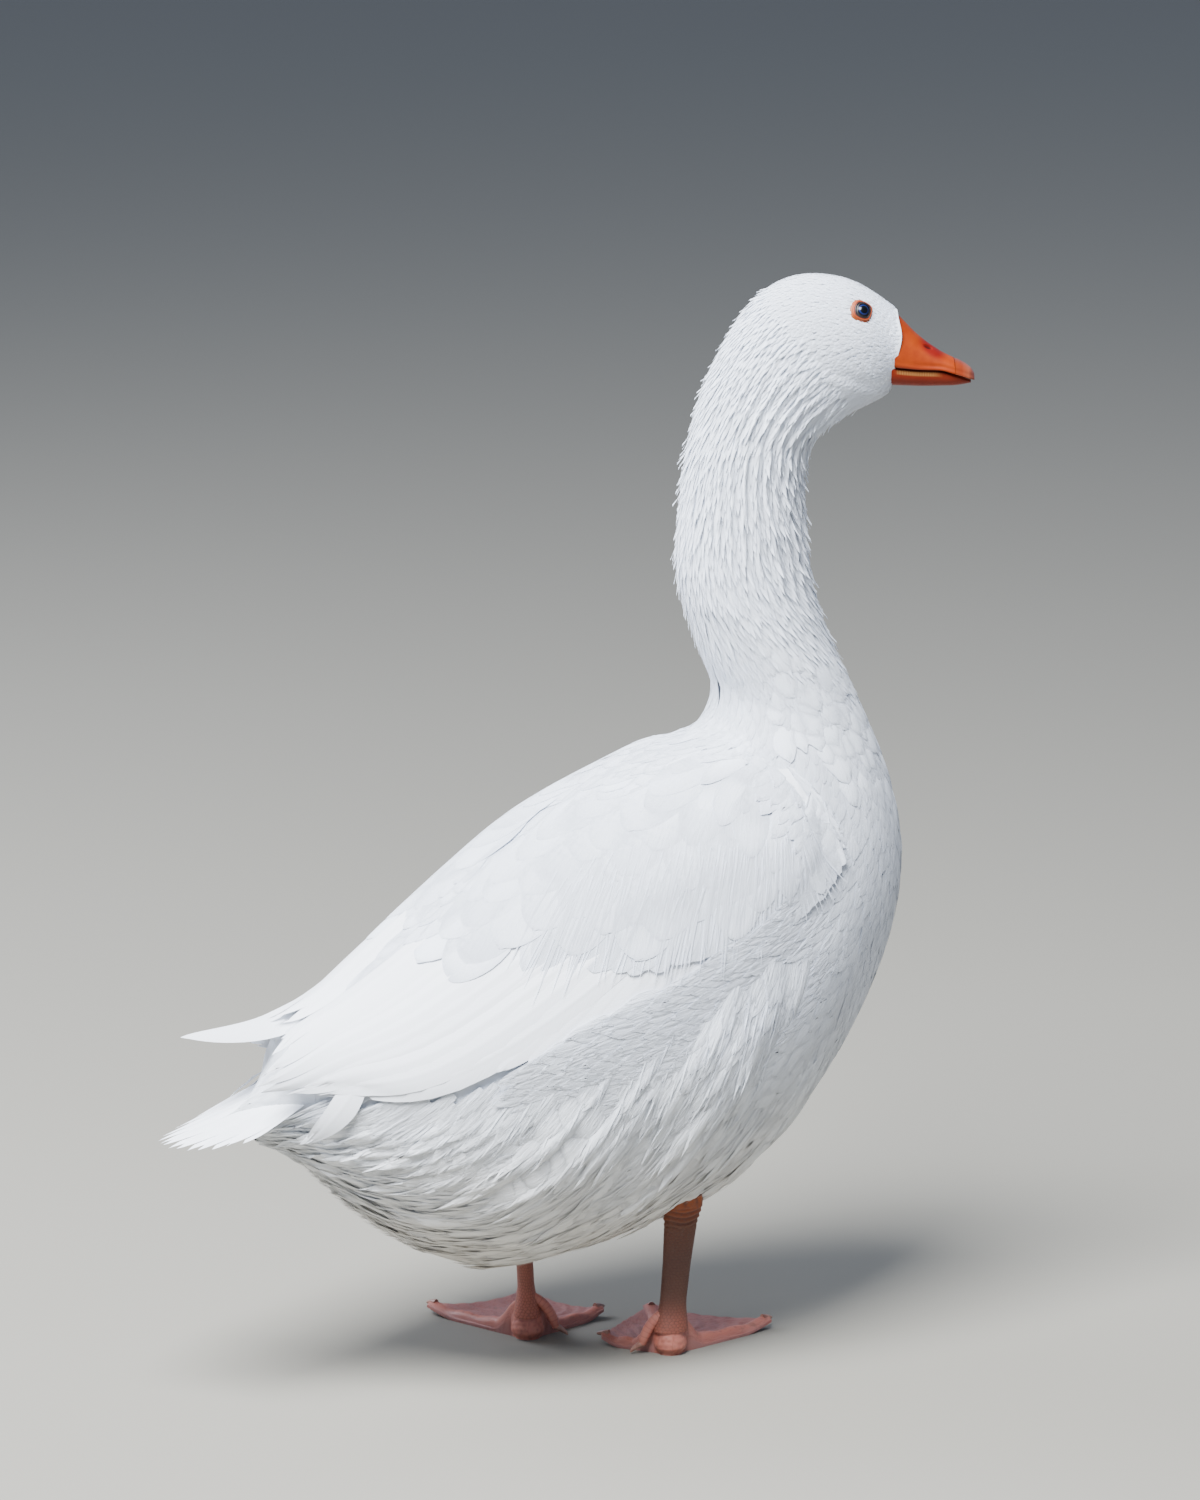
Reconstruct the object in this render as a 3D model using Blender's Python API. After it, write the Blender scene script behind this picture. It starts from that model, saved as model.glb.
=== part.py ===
"""A white domestic goose at life size, standing alert with its head turned to its right.

Metres, +Z up. The goose faces +X and its left side is +Y. The flesh from the tail root to the
bill is one smooth form, worked out from named cross-sections and parted by thin plane cuts. The
wings, tail, legs, feet, bill and eyes are solids of their own, each a GAP clear of its neighbours.
"""

import math

import bmesh
import bpy
import numpy as np

GAP = 0.0003  # clear space between parts that meet
MIDDLE = 0.12  # X of the vertical axis that the head turns about
HEAD_TURN = math.radians(-27)  # the head looks this far to the goose's right
TURN_FROM, TURN_TO = 0.46, 0.69  # heights between which the neck takes up that turn
EGG = 0.10  # how much wider the trunk is low down than high up

# Cross-sections of the body: the back point and the belly point in the plane of symmetry (x, z),
# the half-width, and the share of EGG. On the neck the back point is the nape and the belly point
# the throat. The first one carries no flesh: only the wing tips run out over it.
SECTIONS = {
    "over_tail": ((-0.342, 0.266), (-0.342, 0.218), 0.044, 0.0),
    "tail_root": ((-0.252, 0.268), (-0.256, 0.182), 0.048, 0.3),
    "rump": ((-0.186, 0.305), (-0.187, 0.116), 0.090, 0.6),
    "paunch": ((-0.095, 0.371), (-0.090, 0.078), 0.121, 1.0),
    "flank": ((-0.018, 0.419), (0.028, 0.096), 0.129, 1.0),
    "shoulder": ((0.045, 0.443), (0.128, 0.146), 0.123, 0.7),
    "breast": ((0.089, 0.455), (0.208, 0.244), 0.101, 0.3),
    "crop": ((0.102, 0.476), (0.243, 0.350), 0.075, 0.0),
    "neck_base": ((0.098, 0.506), (0.217, 0.452), 0.056, 0.0),
    "neck_low": ((0.072, 0.556), (0.177, 0.539), 0.045, 0.0),
    "neck_middle": ((0.069, 0.611), (0.165, 0.604), 0.041, 0.0),
    "neck_top": ((0.078, 0.665), (0.165, 0.655), 0.039, 0.0),
    "nape": ((0.099, 0.729), (0.186, 0.681), 0.036, 0.0),
    "cheek": ((0.138, 0.781), (0.208, 0.693), 0.033, 0.0),
    "eye": ((0.183, 0.789), (0.220, 0.699), 0.029, 0.0),
    "brow": ((0.2115, 0.778), (0.226, 0.704), 0.023, 0.0),
    "bill_root": ((0.231, 0.764), (0.228, 0.709), 0.0185, 0.0),
}
STATION = {name: place for place, name in enumerate(SECTIONS)}
PARTINGS = (
    ("trunk", STATION["tail_root"], STATION["crop"] + 0.55, 20, 32),
    ("neck_lower", STATION["crop"] + 0.55, STATION["neck_middle"], 7, 24),
    ("neck_upper", STATION["neck_middle"], STATION["nape"] - 0.1, 7, 24),
    ("head", STATION["nape"] - 0.1, STATION["bill_root"], 12, 28),
)  # name, where it begins and ends along the body, rings, facets round it

EYE_ALONG, EYE_ROUND = STATION["eye"] + 0.49, math.radians(56)
EYE_RADIUS, EYE_OUT = 0.0082, 0.0024  # the ball, and how far it stands out of the head's side

BILL_BASE, BILL_TIP, NAIL_FROM = 0.2312, 0.2872, 0.2738  # x of the bill's root, end and nail
JAW_TIP = 0.2830
CULMEN = ((0.0, 0.7635), (0.3, 0.7455), (0.6, 0.7325), (0.85, 0.7245), (1.0, 0.7165))
TOMIUM = ((0.0, 0.7235), (0.3, 0.7215), (0.6, 0.7208), (0.85, 0.7162), (1.0, 0.7122))
JAW_LINE = ((0.0, 0.7085), (0.4, 0.7076), (0.8, 0.7080), (1.0, 0.7098))
BILL_HALF = ((0.0, 0.0182), (0.4, 0.0160), (0.75, 0.0146), (0.93, 0.0110), (1.0, 0.0040))
JAW_HALF = ((0.0, 0.0165), (0.4, 0.0142), (0.75, 0.0126), (0.93, 0.0090), (1.0, 0.0035))

# The folded wings: where along the body, and the upper and lower edge in degrees from the back.
WING_EDGES = {
    "R": ((6.35, 40, 60), (5.9, 20, 73), (5, 11, 77), (4, 8, 79), (3, 5, 80), (2, 3, 79),
          (1.4, 3, 72), (0.92, 14, 76), (0.42, 58, 88)),
    "L": ((6.35, 40, 60), (5.9, 20, 73), (5, 11, 77), (4, 8, 79), (3, 5, 80), (2, 3, 79),
          (1.4, 3, 68), (0.85, 3, 54), (0.10, 9, 26)),
}
PRIMARIES_FROM, WING_SLIT = 7.0, 0.012  # the row where the wing-tip quills come out, and its parting
WING_BED = 0.009  # how deep the trunk is sunk below them
WING_RISE, WING_BULGE = 0.0020, 0.0035  # how far they stand out at the edges, and more in the middle
WING_TAPER = 0.6  # share of the thickness lost at the very tip
WING_TIP_THICK, WING_REACH = 0.006, 0.016  # thickness past the rump, and depth into the trunk's bed

TAIL_ROOT_UP, TAIL_TIP = 0.220, (-0.345, 0.195)
TAIL_HALF = ((0.0, 0.038), (0.35, 0.048), (0.75, 0.057), (0.93, 0.050), (1.0, 0.036))
TAIL_DEPTH = ((0.0, 0.034), (0.35, 0.018), (0.75, 0.007), (0.93, 0.0032), (1.0, 0.0012))
TAIL_ARCH, TAIL_ROUND = 1.0, 3.0  # how fast the fan drops and shortens off its middle, per metre

# The legs: where the heel, hock and knee stand, the turn of the foot and of the shank from straight
# ahead, the degrees from one toe to the next, which way round the inner toe lies, and how far the
# inner, middle and outer toe reach. The right inner toe is drawn in.
LEGS = {
    "R": {"heel": (0.030, -0.054), "hock": (0.041, -0.0535), "knee": (0.034, -0.078),
          "yaw": math.radians(70), "shank_yaw": math.radians(-10), "spread": 57, "inner": 1,
          "toes": (0.055, 0.098, 0.097)},
    "L": {"heel": (-0.045, 0.030), "hock": (-0.044, 0.044), "knee": (-0.030, 0.078),
          "yaw": math.radians(64), "shank_yaw": math.radians(62), "spread": 47, "inner": -1,
          "toes": (0.076, 0.098, 0.097)},
}
ANKLE_UP, HOCK_UP, KNEE_UP = 0.021, 0.117, 0.200
SHANK = ((0.0, 0.0068, 0.0098), (0.15, 0.0062, 0.0098), (0.5, 0.0062, 0.0107), (0.8, 0.0072, 0.0126),
         (0.93, 0.0098, 0.0156), (1.0, 0.0094, 0.0150))  # how far up it, half its width and depth
THIGH_YAW = 0.3
THIGH = ((0.0, 0.0120, 0.0140), (0.25, 0.020, 0.024), (0.6, 0.034, 0.040), (0.88, 0.036, 0.042),
         (1.0, 0.020, 0.024))

HALLUX_PATH = ((0.003, 0.031), (0.0175, 0.0250), (0.0215, 0.0052))  # reach and height of the hind toe
HALLUX_HALF = (0.0038, 0.0031)  # its half-thickness at root and end
TIP_RISE = 0.006  # how far a toe's tip curls up off the ground
TOE_HALF, TOE_HEIGHT, WEB_TOP, WEB_CLEAR = 0.0062, 0.0100, 0.0034, 0.0010
WEB_DIP = 0.13  # how far the web's edge falls short of the toes' tips
HUB, HUB_FALL, PAD = 0.0101, 0.020, 0.0134  # radius of the ankle, its slope and the heel pad
TOE_TAPER, KNUCKLE, TOE_ROUND = 0.45, 0.10, 2.2  # how a toe sinks, swells at its joints, and rounds off
CLAW_LONG, CLAW_HALF, CLAW_SUNK = 0.010, 0.0026, 0.005  # and how far a front claw roots in its toe
HIND_CLAW_AT = (0.0200, 0.0082)
CLAW_DROP = {"hind": 0.0066, "front": 0.0018}
HALLUX_TURN = 92  # degrees from the middle toe round to the hind one

PLUMAGE = ("white plumage", (0.80, 0.81, 0.83), 0.85)
QUILL = ("white flight feathers", (0.82, 0.83, 0.86), 0.60)
BILL = ("orange bill sheath", (0.80, 0.16, 0.015), 0.38)
NAIL = ("pale bill nail", (0.82, 0.36, 0.24), 0.35)
EYE = ("blue eye", (0.05, 0.08, 0.22), 0.05)
SHIN = ("scaly shank skin", (0.42, 0.13, 0.06), 0.60)
WEB = ("pink webbed foot", (0.64, 0.22, 0.16), 0.55)
HORN = ("horny claw", (0.72, 0.55, 0.45), 0.40)


def spline(rows):
    """A natural cubic spline through rows at 0, 1, 2...: a function of where along it."""
    rows = np.asarray(rows, float)
    n = len(rows)
    system = np.diag(np.full(n, 4.0)) + np.diag(np.ones(n - 1), 1) + np.diag(np.ones(n - 1), -1)
    system[0, 0] = system[-1, -1] = 2.0
    steps = np.empty_like(rows)
    steps[1:-1] = 3 * (rows[2:] - rows[:-2])
    steps[0], steps[-1] = 3 * (rows[1] - rows[0]), 3 * (rows[-1] - rows[-2])
    slopes = np.linalg.solve(system, steps)

    def at(where):
        where = np.asarray(where, float)
        first = np.clip(np.floor(where).astype(int), 0, n - 2)
        t = (where - first)[..., None]
        a, b, da, db = rows[first], rows[first + 1], slopes[first], slopes[first + 1]
        return a + da * t + (3 * (b - a) - 2 * da - db) * t**2 + (2 * (a - b) + da + db) * t**3

    return at


def eased(low, high, value):
    """0 below low, 1 above high, and smooth between."""
    t = np.clip((value - low) / (high - low), 0, 1)
    return t * t * (3 - 2 * t)


def profile(table, share):
    """Each column of a short table against its first, read off at some shares of the way."""
    table = np.asarray(table)
    return [np.interp(share, table[:, 0], column) for column in table[:, 1:].T]


section_at = spline([[*back, *belly, half, egg] for back, belly, half, egg in SECTIONS.values()])


def turned(points):
    """Points of the neck and head, swung about the neck's axis by the head's turn at their height."""
    points = np.asarray(points, float)
    angle = HEAD_TURN * eased(TURN_FROM, TURN_TO, points[..., 2])
    x, y = points[..., 0] - MIDDLE, points[..., 1]
    forward = MIDDLE + x * np.cos(angle) - y * np.sin(angle)
    return np.stack([forward, x * np.sin(angle) + y * np.cos(angle), points[..., 2]], -1)


def on_body(along, angle):
    """The surface: along counts sections, and angle runs from the back (0) round the left side."""
    back_x, back_z, belly_x, belly_z, half, egg = np.moveaxis(section_at(along), -1, 0)
    lift = np.cos(angle)
    x = (back_x + belly_x) / 2 + (back_x - belly_x) / 2 * lift
    z = (back_z + belly_z) / 2 + (back_z - belly_z) / 2 * lift
    return turned(np.stack([x, half * np.sin(angle) * (1 - EGG * egg * lift), z], -1))


def outward(along, angle):
    """The unit normal of that surface."""
    step = 1e-3
    ahead = on_body(along + step, angle) - on_body(along - step, angle)
    round_it = on_body(along, angle + step) - on_body(along, angle - step)
    out = np.cross(ahead, round_it)
    return out / np.linalg.norm(out, axis=-1, keepdims=True)


def off_body(along, angle, height):
    """A point at some height straight out of the surface."""
    along, angle, height = np.broadcast_arrays(along, angle, height)
    return on_body(along, angle) + outward(along, angle) * height[..., None]


def wing_bed(along, angle):
    """How deep the trunk is sunk where the wings fold over it."""
    low = abs((np.asarray(angle) + math.pi) % math.tau - math.pi)
    here = eased(0.05, 0.30, low) * (1 - eased(1.30, 1.75, low))
    return WING_BED * here * (1 - eased(5.6, 6.7, along)) * eased(0.9, 1.6, along)


def paint(name, colour, roughness):
    """A plain Principled material."""
    made = bpy.data.materials.get(name) or bpy.data.materials.new(name)
    made.use_nodes = True
    shader = made.node_tree.nodes["Principled BSDF"]
    shader.inputs["Base Color"].default_value = (*colour, 1)
    shader.inputs["Roughness"].default_value = roughness
    return made


def solid(name, mesh, material):
    """An object with this mesh, in the goose's own collection."""
    mesh.materials.append(paint(*material))
    mesh.shade_smooth()
    mesh.set_sharp_from_angle(angle=math.radians(40))
    made = bpy.data.objects.new(name, mesh)
    goose.objects.link(made)
    made.parent = origin
    return made


def loft(name, rings):
    """A closed mesh through rings of points, each ring one closed loop, with flat ends."""
    rings = np.asarray(rings, float)
    count, round_it = rings.shape[:2]
    near = np.arange(round_it)
    far = np.roll(near, -1)
    faces = []
    for first in range(0, (count - 1) * round_it, round_it):
        second = first + round_it
        faces += np.stack([near + first, far + first, far + second, near + second], -1).tolist()
    faces += [near[::-1].tolist(), (near + (count - 1) * round_it).tolist()]
    mesh = bpy.data.meshes.new(name)
    mesh.from_pydata(rings.reshape(-1, 3).tolist(), [], faces)
    closed = bmesh.new()
    closed.from_mesh(mesh)
    bmesh.ops.triangulate(closed, faces=closed.faces)
    bmesh.ops.recalc_face_normals(closed, faces=closed.faces)
    closed.to_mesh(mesh)
    closed.free()
    return mesh


def cutter_of(piece):
    """A copy of a piece, grown by the gap, that takes it out of its neighbours."""
    known = bpy.data.objects.get("cut_" + piece.name)
    if known:
        return known
    mesh = piece.data.copy()
    grown = [vertex.co + vertex.normal * GAP for vertex in mesh.vertices]
    for vertex, place in zip(mesh.vertices, grown):
        vertex.co = place
    made = bpy.data.objects.new("cut_" + piece.name, mesh)
    cutters.objects.link(made)
    made.parent = origin
    made.hide_render = True
    made.display_type = "WIRE"
    return made


def clear(piece, *neighbours):
    """Cuts a piece back by its neighbours and the gap round them."""
    for neighbour in neighbours:
        step = piece.modifiers.new("clear_of_" + neighbour.name, "BOOLEAN")
        step.object = cutter_of(neighbour)
        step.operation = "DIFFERENCE"
        step.solver = "EXACT"


def build_flesh():
    """Trunk, neck and head: lengths of the one smooth body, half a gap short of each parting."""
    made = {}
    for name, start, end, rings, around in PARTINGS:
        ends = []
        for place, way in ((start, 1), (end, -1)):
            nearest = min(
                np.linalg.norm(on_body(place + 0.01, side) - on_body(place - 0.01, side)) / 0.02
                for side in (0, math.pi)
            )
            ends.append(place + way * GAP / nearest)
        angles = np.arange(around)[None, :] * math.tau / around
        along = np.linspace(*ends, rings)[:, None]
        sunk = wing_bed(along, angles) if name == "trunk" else np.zeros_like(along + angles)
        made[name] = solid(name, loft(name, off_body(along, angles, -sunk)), PLUMAGE)
    return made


def build_eyes(head):
    """Two balls, each in a round socket of the head."""
    for side, way in (("R", -1), ("L", 1)):
        ball = bmesh.new()
        bmesh.ops.create_uvsphere(ball, u_segments=12, v_segments=8, radius=EYE_RADIUS)
        centre = off_body(EYE_ALONG, way * EYE_ROUND, EYE_OUT - EYE_RADIUS)
        bmesh.ops.translate(ball, verts=ball.verts, vec=centre.tolist())
        mesh = bpy.data.meshes.new("eye_" + side)
        ball.to_mesh(mesh)
        ball.free()
        clear(head, solid("eye_" + side, mesh, EYE))


def bill_rings(shares, tip, upper, lower, half, way, facets=11):
    """Rings of one mandible: an arch on a flat base, way up (1) or down (-1)."""
    arch = np.linspace(0, math.pi, facets)
    rings = []
    for share in shares:
        flat, crest, wide = (profile(table, share)[0] for table in (lower, upper, half))
        x = BILL_BASE + GAP + share * (tip - BILL_BASE - GAP)
        y = wide * np.sign(np.cos(arch)) * abs(np.cos(arch)) ** 0.8
        z = flat + way * GAP / 2 + (crest - flat - way * GAP / 2) * np.sin(arch) ** 0.8
        rings.append(np.stack([np.full(facets, x), y, z], -1))
    return turned(rings)


def build_bill():
    """The two mandibles, parted along the mouth, and the nail at the tip of the upper one."""
    to_nail = (NAIL_FROM - BILL_BASE) / (BILL_TIP - BILL_BASE)
    slit = GAP / (BILL_TIP - BILL_BASE)
    for name, shares, material in (
        ("bill_upper", np.linspace(0, to_nail - slit, 7), BILL),
        ("bill_nail", np.concatenate([np.linspace(to_nail, 0.93, 3), (0.975, 1.0)]), NAIL),
    ):
        solid(name, loft(name, bill_rings(shares, BILL_TIP, CULMEN, TOMIUM, BILL_HALF, 1)), material)
    shares = np.concatenate([np.linspace(0, 0.93, 7), (0.975, 1.0)])
    rings = bill_rings(shares, JAW_TIP, JAW_LINE, TOMIUM, JAW_HALF, -1)
    solid("bill_lower", loft("bill_lower", rings), BILL)


def build_wing(side, trunk, tail):
    """A folded wing: a curved plate over the side of the body, and the quills of its tip."""
    way = 1 if side == "L" else -1
    edges = spline(WING_EDGES[side])
    last = len(WING_EDGES[side]) - 1
    across = np.linspace(0, 1, 8)[None, :]
    for name, start, end, rows, material in (
        ("wing_", 0.0, PRIMARIES_FROM - WING_SLIT, 13, PLUMAGE),
        ("primaries_", PRIMARIES_FROM + WING_SLIT, last, 7, QUILL),
    ):
        where = np.linspace(start, end, rows)
        along, high, low = np.moveaxis(edges(where), -1, 0)[..., None]
        angle = way * np.radians(high + (low - high) * across)
        bulge = np.sqrt(np.maximum(0, 1 - (2 * across - 1) ** 2))
        taper = 1 - WING_TAPER * eased(last - 2, last, where)[:, None]
        rise = (WING_RISE + WING_BULGE * bulge) * taper
        over_trunk = eased(STATION["tail_root"] - 0.05, STATION["tail_root"] + 0.35, along)
        depth = WING_TIP_THICK * taper * (0.35 + 0.65 * bulge) * (1 - over_trunk) + WING_REACH * over_trunk
        top = off_body(along, angle, rise)
        bottom = off_body(along, angle, rise - depth)
        plate = np.concatenate([top, bottom[:, ::-1]], axis=1)
        piece = solid(name + side, loft(name + side, plate), material)
        if material is PLUMAGE:
            clear(piece, trunk, tail)


def build_tail():
    """A fan of tail quills, round at the rump and thin as a blade at its end."""
    share = np.array((0.0, 0.15, 0.35, 0.55, 0.75, 0.87, 0.95, 1.0))
    half, depth = profile(TAIL_HALF, share)[0], profile(TAIL_DEPTH, share)[0]
    round_it = np.arange(26) * math.tau / 26
    (back_x, back_z), (under_x, under_z), _, _ = SECTIONS["tail_root"]
    lean = (back_x - under_x) / (back_z - under_z)
    start = np.array((back_x + (TAIL_ROOT_UP - back_z) * lean - GAP, TAIL_ROOT_UP))
    centre = start + share[:, None] * (np.array(TAIL_TIP) - start)
    y = half[:, None] * np.sin(round_it)
    up = depth[:, None] * np.cos(round_it)
    x = centre[:, :1] + up * lean + TAIL_ROUND * share[:, None] * y**2
    z = centre[:, 1:] + up - TAIL_ARCH * share[:, None] * y**2
    return solid("tail", loft("tail", np.stack([x, y, z], -1)), QUILL)


def limb_rings(table, foot, head, yaw, facets=16):
    """Level ellipses up a limb from one point to another."""
    share = np.asarray(table)[:, 0]
    wide, deep = profile(table, share)
    centre = np.asarray(foot) + share[:, None] * (np.asarray(head) - np.asarray(foot))
    turn = np.arange(facets) * math.tau / facets
    ahead, aside = deep[:, None] * np.cos(turn), wide[:, None] * np.sin(turn)
    x = centre[:, :1] + ahead * math.cos(yaw) - aside * math.sin(yaw)
    y = centre[:, 1:2] + ahead * math.sin(yaw) + aside * math.cos(yaw)
    return np.stack([x, y, np.broadcast_to(centre[:, 2:], x.shape)], -1)


def toe_height(forward, aside, direction, length):
    """How high a toe stands over a point of the foot: a round ridge that sinks to its tip."""
    along = forward * np.cos(direction) + aside * np.sin(direction)
    off = aside * np.cos(direction) - forward * np.sin(direction)
    ridge = np.sqrt(np.maximum(0, 1 - (off / TOE_HALF) ** 2))
    knuckles = 1 + KNUCKLE * np.cos(along / length * 3 * math.tau)
    return TOE_HEIGHT * ridge * knuckles * (1 - TOE_TAPER * along / length) * (along > 0)


def foot_mesh(name, leg):
    """A webbed foot: polar rings from the ankle to the outline, over the top and back below."""
    lengths = leg["toes"]
    spread = leg["spread"]
    toes = [leg["inner"] * math.radians(turn) for turn in (spread, 0, -spread)]
    web = (-0.8, -0.66, -0.5, -0.34, -0.2)
    near_toe = (-4.2, -2.2, 0, 2.2, 4.2)
    outside = (8, 16, 36, 80)
    degrees = [toe + near for toe in (-spread, 0, spread) for near in near_toe]
    degrees += [edge + spread * between for edge in (0, spread) for between in web]
    degrees += [way * (spread + far) for way in (-1, 1) for far in outside] + [180]
    round_it = np.radians(sorted(degrees))[None, :]
    spread = math.radians(spread)

    reach = np.full(round_it.shape, PAD)
    for direction, length in zip(toes, lengths):
        off = abs(round_it - direction)
        side = TOE_HALF / np.maximum(np.sin(np.minimum(off, math.pi / 2)), 1e-3)
        tip = length * (1 - TOE_ROUND * off**2)
        reach = np.where(off < math.pi / 2, np.maximum(reach, np.minimum(side, tip)), reach)
    order = np.argsort(toes)
    between = np.interp(round_it, np.array(toes)[order], np.array(lengths)[order])
    scallop = 1 - WEB_DIP * np.sin(math.pi * (round_it % spread) / spread) ** 0.7
    reach = np.where(abs(round_it) < spread, np.maximum(reach, between * scallop), reach)

    share = np.array((0, 0.12, 0.27, 0.45, 0.66, 0.85, 1.0))[:, None]
    radius = HUB + (reach - HUB) * share
    forward, aside = radius * np.cos(round_it), radius * np.sin(round_it)
    toe_top = np.max([toe_height(forward, aside, *toe) for toe in zip(toes, lengths)], axis=0)
    on_web = (abs(round_it) < spread) * np.ones_like(share)
    edge = 1 - 0.45 * share**6
    slope = (ANKLE_UP - WEB_TOP) * (1 - eased(HUB, HUB + HUB_FALL, radius)) * (1 - 0.5 * share**4)
    top = np.maximum(toe_top * edge, WEB_TOP * edge) + slope
    top = np.where(share == 0, ANKLE_UP, top)
    curl = TIP_RISE * eased(0.72, 1.05, radius / between)
    off_toe = on_web * (toe_top < 0.3 * TOE_HEIGHT)
    clearance = curl + WEB_CLEAR * off_toe * eased(HUB, HUB + HUB_FALL, radius)
    yaw = leg["yaw"]
    x = leg["heel"][0] + forward * math.cos(yaw) - aside * math.sin(yaw)
    y = leg["heel"][1] + forward * math.sin(yaw) + aside * math.cos(yaw)
    over, under = np.stack([x, y, top + curl], -1), np.stack([x, y, clearance], -1)
    return loft(name, np.concatenate([over, under[::-1]]))


def cone_between(name, start, bend, end, thick, thin):
    """A tapering, bent rod with flat ends, for a hind toe or a claw."""
    share = np.linspace(0, 1, 4)[:, None]
    start, bend, end = np.asarray(start), np.asarray(bend), np.asarray(end)
    centre = (1 - share) ** 2 * start + 2 * share * (1 - share) * bend + share**2 * end
    ahead = 2 * (1 - share) * (bend - start) + 2 * share * (end - bend)
    ahead /= np.linalg.norm(ahead, axis=1, keepdims=True)
    aside = np.cross(ahead, (0, 0, 1))
    aside /= np.linalg.norm(aside, axis=1, keepdims=True)
    up = np.cross(aside, ahead)
    turn = (np.arange(8) * math.tau / 8)[None, :, None]
    radius = (thick + (thin - thick) * share**1.4)[:, :, None]
    rings = centre[:, None] + radius * (aside[:, None] * np.cos(turn) + up[:, None] * np.sin(turn))
    return loft(name, rings)


def build_leg(side, trunk):
    """Thigh, shank, webbed foot, hind toe and claws of one leg."""
    leg = LEGS[side]
    ankle = (*leg["heel"], ANKLE_UP + GAP)
    hock = (*leg["hock"], HOCK_UP)
    rings = limb_rings(SHANK, ankle, hock, leg["shank_yaw"])
    shank = solid("shank_" + side, loft("shank_" + side, rings), SHIN)
    above_hock = (*leg["hock"], HOCK_UP + GAP)
    knee = (*leg["knee"], KNEE_UP)
    rings = limb_rings(THIGH, above_hock, knee, THIGH_YAW)
    thigh = solid("thigh_" + side, loft("thigh_" + side, rings), PLUMAGE)
    clear(trunk, thigh, shank)

    foot = solid("foot_" + side, foot_mesh("foot_" + side, leg), WEB)
    heel = np.array((*leg["heel"], 0.0))

    def beside(turn, reach, height):
        direction = leg["yaw"] + leg["inner"] * math.radians(turn)
        return heel + (reach * math.cos(direction), reach * math.sin(direction), height)

    path = [beside(HALLUX_TURN, reach, height) for reach, height in HALLUX_PATH]
    hind = solid("hind_toe_" + side, cone_between("hind_toe_" + side, *path, *HALLUX_HALF), WEB)
    clear(hind, foot, shank)
    claws = [("claw_hind_", hind, HALLUX_TURN, *HIND_CLAW_AT)]
    turns = (leg["spread"], 0, -leg["spread"])
    for name, turn, length in zip(("inner", "middle", "outer"), turns, leg["toes"]):
        claws.append(("claw_" + name + "_", foot, turn, length - CLAW_SUNK, TIP_RISE + CLAW_HALF))
    for name, toe, turn, reach, height in claws:
        drop = CLAW_DROP["hind" if toe is hind else "front"]
        bend = beside(turn, reach + 0.6 * CLAW_LONG, height - drop / 4)
        tip = beside(turn, reach + CLAW_LONG, height - drop)
        claw = cone_between(name + side, beside(turn, reach, height), bend, tip, CLAW_HALF, CLAW_HALF / 3)
        clear(solid(name + side, claw, HORN), toe)


def centre_on_floor():
    """Moves the whole goose so that its box stands centred on the origin."""
    bpy.context.view_layer.update()
    shapes = bpy.context.evaluated_depsgraph_get()
    corners = np.array([
        piece.evaluated_get(shapes).matrix_world @ vertex.co
        for piece in goose.objects if piece.type == "MESH"
        for vertex in piece.evaluated_get(shapes).data.vertices
    ])
    low, high = corners.min(0), corners.max(0)
    origin.location = (-(low[0] + high[0]) / 2, -(low[1] + high[1]) / 2, -low[2])


for old in list(bpy.data.objects):
    bpy.data.objects.remove(old)
goose = bpy.data.collections.new("domestic goose")
cutters = bpy.data.collections.new("cutters")
bpy.context.scene.collection.children.link(goose)
bpy.context.scene.collection.children.link(cutters)
origin = bpy.data.objects.new("origin", None)
goose.objects.link(origin)

body = build_flesh()
build_eyes(body["head"])
build_bill()
fan = build_tail()
for one_side in ("R", "L"):
    build_leg(one_side, body["trunk"])
for one_side in ("R", "L"):
    build_wing(one_side, body["trunk"], fan)
centre_on_floor()
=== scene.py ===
"""A white domestic goose in its plumage, dressed over its own solids and set on a studio floor.

Metres, +Z up. The goose faces +X with its left side at +Y. Sizes are given from the flesh's own
axes, and every mesh is moved by SHIFT along X as it is made, so that it stands where the solids do.
"""

import math

import bpy
import numpy as np
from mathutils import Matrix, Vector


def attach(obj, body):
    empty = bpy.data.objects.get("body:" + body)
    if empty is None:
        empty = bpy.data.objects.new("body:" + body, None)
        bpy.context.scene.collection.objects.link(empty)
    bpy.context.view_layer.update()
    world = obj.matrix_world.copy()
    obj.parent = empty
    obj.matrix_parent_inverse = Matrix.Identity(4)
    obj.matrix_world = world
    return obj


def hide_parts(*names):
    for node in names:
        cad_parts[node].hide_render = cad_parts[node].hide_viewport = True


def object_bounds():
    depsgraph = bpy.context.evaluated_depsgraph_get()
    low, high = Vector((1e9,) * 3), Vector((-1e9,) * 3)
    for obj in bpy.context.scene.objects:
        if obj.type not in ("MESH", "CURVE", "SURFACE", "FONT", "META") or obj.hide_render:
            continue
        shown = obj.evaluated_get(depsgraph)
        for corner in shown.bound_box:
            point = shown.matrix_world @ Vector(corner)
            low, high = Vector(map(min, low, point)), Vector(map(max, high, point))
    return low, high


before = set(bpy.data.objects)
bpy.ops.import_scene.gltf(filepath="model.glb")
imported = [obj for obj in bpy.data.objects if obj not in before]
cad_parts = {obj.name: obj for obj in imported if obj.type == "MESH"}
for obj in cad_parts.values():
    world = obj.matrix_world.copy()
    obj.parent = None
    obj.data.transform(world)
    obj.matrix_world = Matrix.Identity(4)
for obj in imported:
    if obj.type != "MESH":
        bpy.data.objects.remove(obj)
cad_low, cad_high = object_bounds()

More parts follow.
